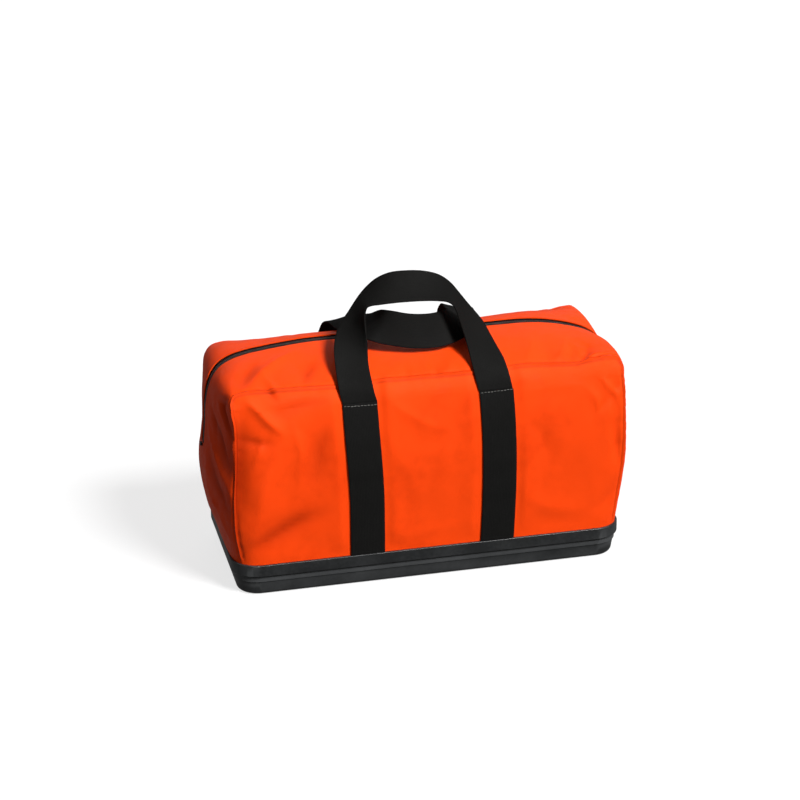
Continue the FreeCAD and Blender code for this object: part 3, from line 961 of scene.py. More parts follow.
    def weld(self, points: np.ndarray, uv: np.ndarray, faces: List[Tuple[int, ...]],
             groups: List[str]) -> None:
        """Joins points that lie together, drops flat faces and turns the rest outwards.

        Args:
            points: Every grid's points.
            uv: Their places in the cloth.
            faces: The faces.
            groups: The group of each face.
        """
        keys = np.round(points / self.near).astype(np.int64)
        _, first, same = np.unique(keys, axis=0, return_index=True, return_inverse=True)
        same = same.ravel()
        self.points, self.uv = points[first], uv[first]
        self.corner_uv, self.faces, self.groups = [], [], []
        for f, group in zip(faces, groups):
            welded = [int(same[i]) for i in f]
            kept = [k for k in range(len(f)) if welded[k] != welded[k - 1]]
            if len({welded[k] for k in kept}) < 3:
                continue
            ring = [welded[k] for k in kept]
            places = [uv[f[k]] for k in kept]
            p = self.points[ring]
            three = len(ring) == 3
            normal = np.cross(p[1] - p[0], p[2] - p[0]) if three else np.cross(p[2] - p[0], p[3] - p[1])
            centre = p.mean(axis=0)
            inner = np.array([np.clip(centre[0], -225.0, 225.0), 0.0, min(centre[2], 235.0)])
            if normal @ (centre - inner) < 0:
                ring.reverse()
                places.reverse()
            self.faces.append(ring)
            self.corner_uv.append(places)
            self.groups.append(group)

    def outward(self) -> np.ndarray:
        """The outward direction of the cloth at each point."""
        normals = np.zeros_like(self.points)
        rings = np.array([f if len(f) == 4 else f + [f[2]] for f in self.faces])
        p = self.points[rings]
        n = np.cross(p[:, 2] - p[:, 0], p[:, 3] - p[:, 1])
        short = np.array([len(f) == 3 for f in self.faces])
        n[short] = np.cross(p[short, 1] - p[short, 0], p[short, 2] - p[short, 0])
        for k in range(4):
            np.add.at(normals, rings[:, k], n)
        return unit(normals)

    # -- folds -------------------------------------------------------------------------------------
    def strap_mask(self, points: np.ndarray, clear: float = 3.0, soft: float = 14.0) -> np.ndarray:
        """0 under a strap and 1 away from it.

        Args:
            points: Points of the cloth.
            clear: How far past a strap's edge the cloth still lies flat.
            soft: How far it takes to come free.

        Returns:
            A factor for each point.
        """
        out = np.ones(len(points))
        for side in Side:
            for face in Face:
                centre = side.value * self.strap_x + self.strap_shift(side, face, points[:, 2])
                gap = np.abs(points[:, 0] - centre) - self.strap_half - clear
                held = 1.0 - smoothstep(gap / soft)
                held *= (points[:, 1] * face.value > 60.0) * (1.0 - smoothstep((points[:, 2] - 305.0) / 26.0))
                out *= 1.0 - held
        return out

    def creases(self) -> List[Crease]:
        """The folds that the cloth has taken from being packed, carried and pulled by its straps."""
        front_left = [
            Crease([(-272, -118, 306), (-256, -123, 290), (-239, -127, 270), (-221, -130, 252)],
                   4.2, 12.0, True),
            Crease([(-221, -130, 252), (-233, -131, 230), (-253, -131, 174), (-264, -131, 122),
                    (-274, -130, 84)], 5.0, 26.0),
            Crease([(-280, -125, 272), (-284, -126, 232), (-287, -127, 176), (-290, -127, 120)], -4.6, 14.0),
            Crease([(-292, -119, 300), (-293, -123, 276), (-293, -125, 240), (-295, -126, 196)],
                   2.6, 5.0, True),
            Crease([(-282, -125, 250), (-262, -129, 243), (-236, -131, 240)], -2.0, 7.0),
            Crease([(-271, -129, 203), (-258, -131, 226), (-250, -130, 252)], 2.2, 7.0, True),
            Crease([(-301, -104, 304), (-303, -86, 286), (-300, -104, 266), (-294, -121, 250)], -4.0, 6.0),
            Crease([(-309, -70, 292), (-306, -92, 272), (-297, -114, 254)], 4.0, 7.0, True),
            Crease([(-313, -42, 262), (-309, -82, 238), (-299, -114, 206)], -3.6, 9.0),
            Crease([(-316, -30, 236), (-312, -76, 208), (-300, -118, 170)], 3.2, 8.0, True),
            Crease([(-321, -40, 196), (-312, -88, 160), (-300, -120, 128)], -3.0, 10.0),
            Crease([(-321, -34, 150), (-313, -86, 116), (-302, -114, 84)], 2.8, 9.0, True),
            Crease([(-238, -106, 316), (-232, -112, 310), (-229, -117, 300)], -2.8, 5.0),
            Crease([(-226, -116, 303), (-230, -104, 318), (-238, -84, 330), (-242, -62, 338)],
                   3.0, 7.0, True),
            Crease([(-262, -100, 318), (-246, -80, 328), (-214, -52, 338), (-182, -30, 344)],
                   2.8, 11.0, True),
            Crease([(-276, -98, 314), (-262, -74, 326), (-244, -48, 336)], -2.6, 9.0),
            Crease([(-184, -104, 316), (-176, -86, 325), (-160, -62, 335)], -2.2, 8.0),
            Crease([(-284, -124, 70), (-250, -131, 88), (-206, -133, 112), (-166, -134, 124)], -3.2, 13.0),
            Crease([(-206, -128, 262), (-196, -131, 224), (-202, -134, 180)], 2.0, 13.0, True),
            Crease([(-154, -128, 260), (-170, -132, 218), (-176, -134, 166)], -1.6, 14.0),
            Crease([(-230, -128, 284), (-196, -124, 292), (-150, -122, 294)], -1.8, 8.0),
        ]
        front_middle = [
            Crease([(10, -108, 312), (18, -98, 321), (6, -86, 328)], -2.6, 5.0),
            Crease([(22, -111, 311), (34, -100, 321), (46, -84, 330)], 2.0, 5.5, True),
            Crease([(-34, -110, 312), (-30, -100, 320), (-34, -86, 327)], -1.8, 5.0),
            Crease([(-70, -120, 292), (-40, -128, 268), (-6, -132, 246), (30, -133, 232)], 1.8, 14.0, True),
            Crease([(68, -124, 278), (40, -130, 250), (16, -133, 214)], -1.6, 13.0),
            Crease([(-66, -132, 220), (-34, -134, 178), (-20, -134, 120)], 1.6, 18.0),
            Crease([(70, -132, 190), (44, -134, 140), (30, -133, 96)], -1.8, 18.0),
            Crease([(-72, -132, 84), (-30, -133, 72), (20, -133, 76), (70, -132, 92)], 1.6, 14.0),
        ]
        front_right = [
            Crease([(228, -110, 313), (246, -96, 322), (252, -82, 327), (240, -66, 334)], -3.4, 5.5),
            Crease([(236, -111, 313), (258, -101, 320), (276, -99, 318)], 3.0, 5.0, True),
            Crease([(216, -104, 316), (226, -92, 324), (228, -78, 330)], -2.4, 5.0),
            Crease([(196, -106, 316), (214, -84, 328), (226, -56, 338)], 2.0, 10.0, True),
            Crease([(150, -104, 318), (166, -78, 331), (170, -48, 342)], 1.6, 14.0, True),
            Crease([(262, -120, 296), (272, -126, 262), (270, -130, 214), (276, -131, 160)], 1.8, 15.0),
            Crease([(292, -118, 250), (284, -130, 214), (286, -131, 176), (294, -126, 140)], -3.6, 8.0),
            Crease([(298, -112, 230), (294, -124, 196), (298, -118, 158)], 3.4, 7.0, True),
            Crease([(256, -121, 300), (272, -124, 276), (286, -126, 262), (293, -126, 232)], 2.6, 5.0, True),
            Crease([(252, -129, 236), (274, -127, 258), (292, -120, 286)], -2.6, 5.0),
            Crease([(236, -127, 280), (252, -129, 262), (258, -130, 236)], 1.8, 6.0, True),
            Crease([(290, -126, 132), (276, -131, 98), (250, -132, 74)], -2.4, 12.0),
            Crease([(136, -130, 250), (170, -133, 206), (190, -134, 150)], -1.6, 18.0),
            Crease([(134, -132, 120), (180, -133, 92), (240, -132, 80)], 1.8, 15.0),
            Crease([(138, -126, 280), (184, -124, 286), (238, -124, 282)], 1.2, 10.0),
        ]
        # The front left folds stand out more and get more painted shade in their dips.
        for crease in front_left:
            crease.gain, crease.tuck = 1.7, 0.10
        for crease in front_right:
            crease.gain = 1.3
        return front_left + front_middle + front_right + self.scattered()

    def scattered(self) -> List[Crease]:
        """More folds for the ends and the back, in seeded random places."""
        rng = np.random.default_rng(41)
        out: List[Crease] = []
        for side in Side:
            for _ in range(9):
                y, z = rng.uniform(-85, 85), rng.uniform(80, 262)
                length, slant = rng.uniform(50, 110), rng.uniform(-0.8, 0.8)
                line = []
                for t in (-0.5, 0.0, 0.5):
                    py, pz = y + t * length * math.sin(slant), z + t * length * math.cos(slant)
                    px = read(partial(self.end_x, side), pz) - 27.0 * (py / 131.0) ** 2
                    line.append((side.value * px, py, pz))
                out.append(Crease(line, rng.choice([-1, 1]) * rng.uniform(1.2, 2.6), rng.uniform(7, 14),
                                  bool(rng.random() < 0.5)))
        for _ in range(30):
            x, z = rng.uniform(-270, 270), rng.uniform(70, 270)
            length, slant = rng.uniform(50, 130), rng.uniform(-1.2, 1.2)
            line = []
            for t in (-0.5, 0.0, 0.5):
                px, pz = x + t * length * math.sin(slant), z + t * length * math.cos(slant)
                line.append((px, read(self.face_at, px, pz), pz))
            out.append(Crease(line, rng.choice([-1, 1]) * rng.uniform(1.0, 2.4), rng.uniform(8, 18),
                              bool(rng.random() < 0.4)))
        for _ in range(22):
            x = rng.uniform(-255, 255)
            out.append(Crease([(x, 110, 314), (x + rng.uniform(-14, 14), 98, 321),
                               (x + rng.uniform(-26, 26), rng.uniform(60, 84), 332)],
                              rng.uniform(-2.4, 2.0), rng.uniform(5, 9)))
        return out

    def fold(self) -> None:
        """Moves the shell's points out and in for its folds, seams, hems and soft unevenness, and works out
        the painted shade in the dips of creases and beside seams.
        """
        p = self.points
        normals = self.outward()
        free = self.strap_mask(p)
        hem = smoothstep((p[:, 2] - 52.0) / 34.0)
        folds, tuck = np.zeros(len(p)), np.zeros(len(p))
        for crease in self.creases():
            height = crease.gain * crease.lift(p)
            folds += height
            # Painted shade: each crease's dip darkens the cloth's colour in step with its depth.
            tuck += crease.tuck * np.clip(-height, 0.0, None)
        lift = folds.copy()
        soft = np.array([noise.noise(Vector((x / 95.0, y / 80.0, z / 120.0))) * 2.6
                         + noise.noise(Vector((x / 34.0 + 7.0, y / 34.0, z / 52.0))) * 0.8
                         + noise.noise(Vector((x / 15.0, y / 15.0 + 3.0, z / 19.0))) * 0.30 for x, y, z in p])
        beside = self.strap_mask(p, 0.0, 10.0) * (1.0 - self.strap_mask(p, 12.0, 34.0))
        lift += soft + 1.6 * beside * (p[:, 2] > 60.0)
        lift *= free * hem
        near_zip = self.beside_zip(p)
        lift *= 0.25 + 0.75 * smoothstep((near_zip - 2.0) / 22.0)
        lift += 0.6 * (1.0 - smoothstep((near_zip - 6.0) / 1.8)) * (p[:, 2] > self.slot_end_z - 14.0)
        seam_gap, run = self.beside_seams(p)
        bound = smoothstep((p[:, 2] - 50.0) / 12.0) * (0.25 + 0.75 * self.strap_mask(p, 0.0, 6.0))
        seam = self.seam
        lift += bound * seam.ridge * np.exp(-(seam_gap / seam.ridge_width) ** 2)
        lift -= bound * seam.groove * np.exp(-((seam_gap - seam.groove_at) / seam.groove_width) ** 2)
        pucker = np.sin(run * 2 * np.pi / seam.pucker_pitch)
        pucker *= np.sin(run * 2 * np.pi / seam.drift_pitch + 1.0)
        puckered = np.exp(-((seam_gap - seam.pucker_at) / seam.pucker_width) ** 2)
        lift += bound * seam.pucker * pucker * puckered
        # Painted shade: a thin dark line of colour beside each seam.
        seam_shade = np.exp(-((seam_gap - seam.dark_at) / seam.dark_width) ** 2) * bound
        # The painted shade of the crease dips and the seam lines, kept for the cloth's colour.
        self.hollow = np.clip(free * hem * tuck, 0.0, 0.8) + 0.5 * seam_shade
        self.points = p + normals * lift[:, None]
        number = {tuple(key): k for k, key in enumerate(np.round(p / self.near).astype(np.int64).tolist())}
        for face, halves in self.turned.items():
            rest = np.concatenate([halves[0], halves[1][:, 1:]], axis=1)
            keys = np.round(rest / self.near).astype(np.int64).tolist()
            picked = np.array([[number[tuple(key)] for key in row] for row in keys])
            lines = self.points[picked] - normals[picked] * self.facing_inset
            under = lines[0] + (lines[0] - lines[1]) * [1.0, 0.0, 1.0]
            self.turned[face] = np.concatenate([under[None], lines])

    def beside_zip(self, p: np.ndarray) -> np.ndarray:
        """How far each point is from the zip's edges."""
        beside = np.maximum(np.abs(p[:, 1]) - self.slot_half, 0.0)
        return beside + np.maximum(self.slot_end_z - 8.0 - p[:, 2], 0.0)

    def beside_seams(self, p: np.ndarray) -> Tuple[np.ndarray, np.ndarray]:
        """How far each point is from the nearest seam, and how far along that seam it is."""
        gap = np.full(len(p), FAR)
        run = np.zeros(len(p))
        for side in Side:
            lower = []
            for z in np.linspace(self.fold_z, self.hem_z, 60):
                ring, corner = self.quarter_ring(side, float(z))
                lower.append((ring[corner][0], -ring[corner][1], z))
            for face in Face:
                upper = self.seam_line(side, face)[::4]
                line = np.concatenate([upper, np.array(lower)[1:]]) * [side.value, face.value, 1.0]
                mine = np.flatnonzero((p[:, 0] * side.value > -6.0) & (p[:, 1] * face.value > 0.0))
                best, where = nearest(p[mine], line)
                better = best < gap[mine]
                gap[mine[better]] = best[better]
                run[mine[better]] = where[better]
        return gap, run

    # -- pieces ------------------------------------------------------------------------------------
    def piece(self, name: str, group: str) -> bpy.types.Object:
        """Makes one group of faces into a piece of cloth with its thickness.

        Args:
            name: The piece's name.
            group: The group.

        Returns:
            The piece.
        """
        chosen = [i for i, g in enumerate(self.groups) if g == group]
        used = sorted({v for i in chosen for v in self.faces[i]})
        number = {v: k for k, v in enumerate(used)}
        mesh_faces = [[number[v] for v in self.faces[i]] for i in chosen]
        obj = make_mesh(name, self.points[used], mesh_faces)
        layer = obj.data.uv_layers.new(name="UVMap")
        flat = [c for i in chosen for place in self.corner_uv[i] for c in place]
        layer.data.foreach_set("uv", flat)
        # The painted shade for creases and seams goes to the cloth's material as a point attribute.
        depth = obj.data.attributes.new("hollow", "FLOAT", "POINT")
        depth.data.foreach_set("value", self.hollow[used].astype(np.float32))
        modify(obj, "SOLIDIFY", thickness=self.thickness * MM, offset=-1.0)
        shade(obj, 55.0)
        return dress(obj, self.finishes.nylon)

    def build(self) -> None:
        """Makes every piece of the body; the lower cloth and the end strips inside the folds are hung on the
        base.
        """
        self.loft()
        self.fold()
        lower = self.piece("body_cloth", "lower")
        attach(lower, Body.BASE.value)
        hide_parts("front_panel", "back_panel", "left_end_panel", "right_end_panel")
        log.info("body_cloth: %d faces", len(lower.data.polygons))
        for face, flap in ((Face.FRONT, Body.FRONT_FLAP), (Face.BACK, Body.BACK_FLAP)):
            self.facing(face, flap)
            side_name = face.name.lower()
            for side in Side:
                cloth = self.piece(f"{side_name}_top_cloth_{side.name.lower()}",
                                   f"{side_name}_{side.name.lower()}")
                self.hang(cloth, flap, side)
                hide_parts(f"{side_name}_top_strip", f"{side_name}_top_panel")
                log.info("%s: %d faces", cloth.name, len(cloth.data.polygons))

    def facing(self, face: Face, flap: Body) -> None:
        """Makes the strips of cloth sewn inside along the line where the top folds open.

        The middle one closes the fold and is not hung on any body; the ones at the ends go with the base.

        Args:
            face: Front or back.
            flap: The flap that opens there; not used.
        """
        given = self.turned[face]
        steps = np.linspace(0.0, len(given) - 1.0, 3 * len(given) - 2)
        whole = np.minimum(steps.astype(int), len(given) - 2)
        part = (steps - whole)[:, None, None]
        rows = given[whole] * (1.0 - part) + given[whole + 1] * part
        x = rows[0, :, 0]
        for name, kept in (("left", x < 8.0 - self.moving_x), ("middle", np.abs(x) < self.moving_x + 20.0),
                           ("right", x > self.moving_x - 8.0)):
            strip = rows[:, kept]
            faces = quads(*strip.shape[:2], across=True)
            if face is Face.BACK:
                faces = faces[:, ::-1]
            flat = strip.reshape(-1, 3)
            obj = make_mesh(f"{face.name.lower()}_fold_facing_{name}", flat, faces.tolist(),
                            flat[:, [0, 2]] * MM)
            modify(obj, "SOLIDIFY", thickness=0.8 * MM, offset=-1.0)
            shade(obj, 55.0)
            dress(obj, self.finishes.nylon)
            if name == "middle":
                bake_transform(obj)
            else:
                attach(obj, Body.BASE.value)

    def hang(self, obj: bpy.types.Object, flap: Body, side: Side) -> None:
        """Bakes a piece's placement into its mesh; the piece is not hung on the base or on a flap.

        Args:
            obj: The piece.
            flap: The flap; not used.
            side: The end of the bag that the piece goes to; not used.
        """
        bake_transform(obj)


# ---- webbing ---------------------------------------------------------------------------------------
@dataclass
class Ribbon:
    """A length of flat webbing between two edges.

    Attributes:
        name: The piece's name.
        edges: For each section, one edge's point and then the other's.
        width: The webbing's true width, which each section is brought to.
        thickness: Its thickness.
        crown: How far its middle stands out from its edges.
    """

    name: str
    edges: Sequence[Tuple[Tuple[float, float, float], Tuple[float, float, float]]]
    width: float = 51.4
    thickness: float = 2.2
    crown: float = 0.0
    step: float = 4.0
    columns: int = 14

    def make(self, material: bpy.types.Material) -> bpy.types.Object:
        """Makes the ribbon.

        Args:
            material: Its finish.

        Returns:
            The piece.
        """
        first = spline([e[0] for e in self.edges], 900)
        second = spline([e[1] for e in self.edges], 900)
        middle = (first + second) / 2.0
        count = max(2, round(arc_length(middle)[-1] / self.step) + 1)
        run = arc_length(middle)
        pick = np.interp(np.linspace(0.0, run[-1], count), run, np.arange(len(middle)))
        rows = []
        for line in (first, second):
            numbers = np.arange(len(line))
            rows.append(np.stack([np.interp(pick, numbers, line[:, k]) for k in range(3)], axis=1))
        a, b = rows
        centre, cross = (a + b) / 2.0, unit(b - a)
        tangent = unit(np.gradient(centre, axis=0))
        facing = unit(np.cross(cross, tangent))
        share = np.linspace(-0.5, 0.5, self.columns)
        rise = self.crown * (1.0 - (2.0 * share) ** 2)
        points = (centre[:, None] + cross[:, None] * (share * self.width)[None, :, None]
                  + facing[:, None] * rise[None, :, None])
        faces = quads(count, self.columns, across=True)
        run = arc_length(centre)
        uv = np.stack([np.repeat((share * self.width)[None], count, axis=0),
                       np.repeat(run[:, None], self.columns, axis=1)], axis=-1).reshape(-1, 2) * MM
        obj = make_mesh(self.name, points.reshape(-1, 3), faces.tolist(), uv)
        modify(obj, "SOLIDIFY", thickness=self.thickness * MM, offset=0.0, use_even_offset=True)
        modify(obj, "BEVEL", width=0.55 * MM, segments=2, limit_method="ANGLE",
               angle_limit=math.radians(60.0))
        shade(obj, 60.0)
        return dress(obj, material)


@dataclass
class Straps:
    """The four sewn straps, their stitching and the two handles that go on from them.

    Attributes:
        body: The sewn body that they lie on.
        finishes: The finishes.
        bottom_z: Where the straps go down behind the rim band.
        top_z: Where they end and the handles begin.
        gap: Clearance from the cloth.
    """

    body: SewnBody
    finishes: Finishes
    bottom_z: float = 36.0
    top_z: float = 287.4
    gap: float = 0.5
    thickness: float = 2.2
    half: float = 25.4
    lean: float = math.radians(25.8)
    stand_off: Knots = ((0.0, 0.0), (14.0, 3.0), (30.0, 1.0), (52.0, -3.5), (110.0, -5.0), (200.0, -4.0))

    def strap(self, face: Face, side: Side) -> bpy.types.Object:
        """One strap, lying on the front or back.

        Args:
            face: Front or back.
            side: Left or right.

        Returns:
            The piece.
        """
        edges = []
        for z in np.concatenate([[self.bottom_z, 50.0], np.linspace(64.0, self.top_z, 18)]):
            x = side.value * self.body.strap_x + read(partial(self.body.strap_shift, side, face), z)
            wave = 0.5 * math.sin(z / 23.0 + side.value) + 0.3 * math.sin(z / 9.0)
            wave *= read(smoothstep, (z - 60.0) / 40.0) * read(smoothstep, (280.0 - z) / 20.0)
            y = read(self.body.face_at, x, z) + self.gap + self.thickness / 2.0 + max(wave, 0.0)
            across = face.value * self.half
            edges.append(((x + across, face.value * y, z), (x - across, face.value * y, z)))
        name = f"{face.name.lower()}_{side.name.lower()}_strap"
        obj = Ribbon(f"{name}_webbing", edges, crown=0.5).make(self.finishes.webbing)
        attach(obj, Body.BASE.value)
        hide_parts(name)
        log.info("%s made", obj.name)
        return obj

    def stitches(self, face: Face) -> bpy.types.Object:
        """The rows of grey stitches across the tops of the straps on one face."""
        bpy.ops.object.select_all(action="DESELECT")
        bpy.ops.mesh.primitive_uv_sphere_add(segments=8, ring_count=6, radius=0.5)
        seed = bpy.context.object
        seed.data.transform(Matrix.Diagonal((3.9, 0.8, 0.8, 1.0)))
        shape = np.array([v.co for v in seed.data.vertices])
        rings = [list(f.vertices) for f in seed.data.polygons]
        bpy.data.objects.remove(seed)
        points, faces = [], []
        rng = np.random.default_rng(5)
        for side in Side:
            z0 = 286.2 if (side, face) == (Side.RIGHT, Face.FRONT) else 284.0
            x0 = side.value * self.body.strap_x + read(partial(self.body.strap_shift, side, face), z0)
            for k in range(10):
                x = x0 + (k - 4.5) * 4.95
                z = z0 + 0.03 * (x - x0) * side.value + rng.uniform(-0.25, 0.25)
                y = read(self.body.face_at, x0, z) + self.gap + self.thickness + 0.35
                y += 0.5 * (1 - ((x - x0) / self.half) ** 2)
                tilt = rng.uniform(-0.08, 0.08)
                turned = shape @ np.array(Matrix.Rotation(tilt, 3, "Y")).T
                faces += [[i + len(points) * len(shape) for i in f] for f in rings]
                points.append(turned + [x, face.value * y, z])
        name = f"{face.name.lower()}_strap_stitching"
        obj = make_mesh(f"{name}_thread", np.concatenate(points), faces)
        shade(obj, 60.0)
        dress(obj, self.finishes.grey_thread)
        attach(obj, Body.BASE.value)
        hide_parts(name)
        return obj

    def leaning(self, x: float, v: float, n: float = 0.0) -> Tuple[float, float, float]:
        """A place near the plane that the front handle lies in.

        A step out from the plane also goes a little across and down, so that it runs along the main
        view's line of sight.

        Args:
            x: Along the bag.
            v: Up the plane from the fold.
            n: Out from the plane.

        Returns:
            The place in space.
        """
        up = np.array([0.0, math.sin(self.lean), math.cos(self.lean)])
        out = np.array([0.0, -math.cos(self.lean), math.sin(self.lean)])
        root = np.array([0.0, -124.2, 287.4])
        return tuple(root + [x - 0.212 * n, 0, 0] + up * (v - 0.074 * n) + out * n)

    def front_handle(self) -> bpy.types.Object:
        """The front handle: an arch of webbing that twists through its two bends."""
        pairs = [((-131, 0), (-80.2, 0)), ((-135, 18), (-82, 17)), ((-137.5, 38), (-83, 36)),
                 ((-138.6, 65), (-85.5, 63.5)), ((-134, 92.7), (-86, 92)), ((-124, 115), (-85.5, 114)),
                 ((-108, 136), (-83, 131)), ((-94, 154), (-79.5, 137.5)), ((-79, 169), (-73, 139.5)),
                 ((-61.5, 181), (-62, 140)), ((-40, 187.7), (-43, 140.6)), ((-16, 188.6), (-19, 140.4)),
                 ((12, 186.2), (8, 139)), ((33, 180), (29, 137)), ((49, 168), (41.5, 134.5)),
                 ((62, 151), (48.5, 129)), ((74, 134.5), (52, 119.5)), ((86.5, 117.5), (54.3, 106)),
                 ((96.5, 101), (57, 92)), ((103, 84), (60, 76.5)), ((109.5, 65), (64, 58)),
                 ((117, 42), (67.5, 39.5)), ((121.5, 18), (70.5, 17.5)), ((124, 0), (73.2, 0))]
        edges = []
        for (ox, ov), (ix, iv) in pairs:
            flat = math.hypot(ox - ix, ov - iv)
            tilt = 0.5 * math.sqrt(max(50.8**2 - flat**2, 0.0))
            tilt *= read(smoothstep, (ov - 25.0) / 60.0)
            outer, inner = through(self.stand_off, np.array([ov, iv], float))
            edges.append((self.leaning(ox, ov, outer - 1.7 * tilt), self.leaning(ix, iv, inner + 0.3 * tilt)))
        obj = Ribbon("front_handle_webbing", edges, crown=-0.8, step=3.5).make(self.finishes.webbing)
        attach(obj, Body.FRONT_HANDLE.value)
        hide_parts("front_handle")
        return obj

    def back_handle(self) -> bpy.types.Object:
        """The back handle: its legs come over the top and its grip hangs on edge behind the front one."""
        pairs = [((-124.7, 124.2, 287.4), (-73.9, 124.2, 287.4)), ((-119.5, 115, 312), (-68.7, 115, 313)),
                 ((-113.5, 103, 334), (-63.5, 103, 341)), ((-111, 81, 344), (-62, 83, 358)),
                 ((-109.5, 56, 345), (-63, 60, 365)), ((-108, 22, 349), (-61.5, 30, 371)),
                 ((-103, -14, 352.5), (-58, 2, 381)), ((-92, -42, 356), (-55, -22, 391)),
                 ((-77, -58, 358), (-48, -42, 398)), ((-54, -66, 352), (-35, -50, 398)),
                 ((-26, -70, 346), (-18, -52, 393)), ((2, -72, 344.5), (3, -52, 388.5)),
                 ((26, -70, 346.5), (24, -51, 385.5)), ((50, -62, 351), (38, -46, 384)),
                 ((72, -50, 356), (49, -34, 381)), ((94, -26, 357), (60, -10, 375)),
                 ((108, 10, 355), (66, 20, 367)), ((114, 50, 351), (68, 50, 361)),
                 ((117, 80, 347), (69, 81, 357)), ((119, 103, 334), (69, 103, 340)),
                 ((121.5, 115, 312), (71.0, 115, 313)), ((124.7, 124.2, 287.4), (73.9, 124.2, 287.4))]
        obj = Ribbon("back_handle_webbing", pairs, crown=0.8, step=3.5).make(self.finishes.webbing)
        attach(obj, Body.BACK_HANDLE.value)
        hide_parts("back_handle")
        return obj

    def build(self) -> None:
        """Makes the straps, their stitching and the handles."""
        for face in Face:
            for side in Side:
                self.strap(face, side)
            self.stitches(face)
        self.front_handle()
        self.back_handle()
        log.info("webbing made")


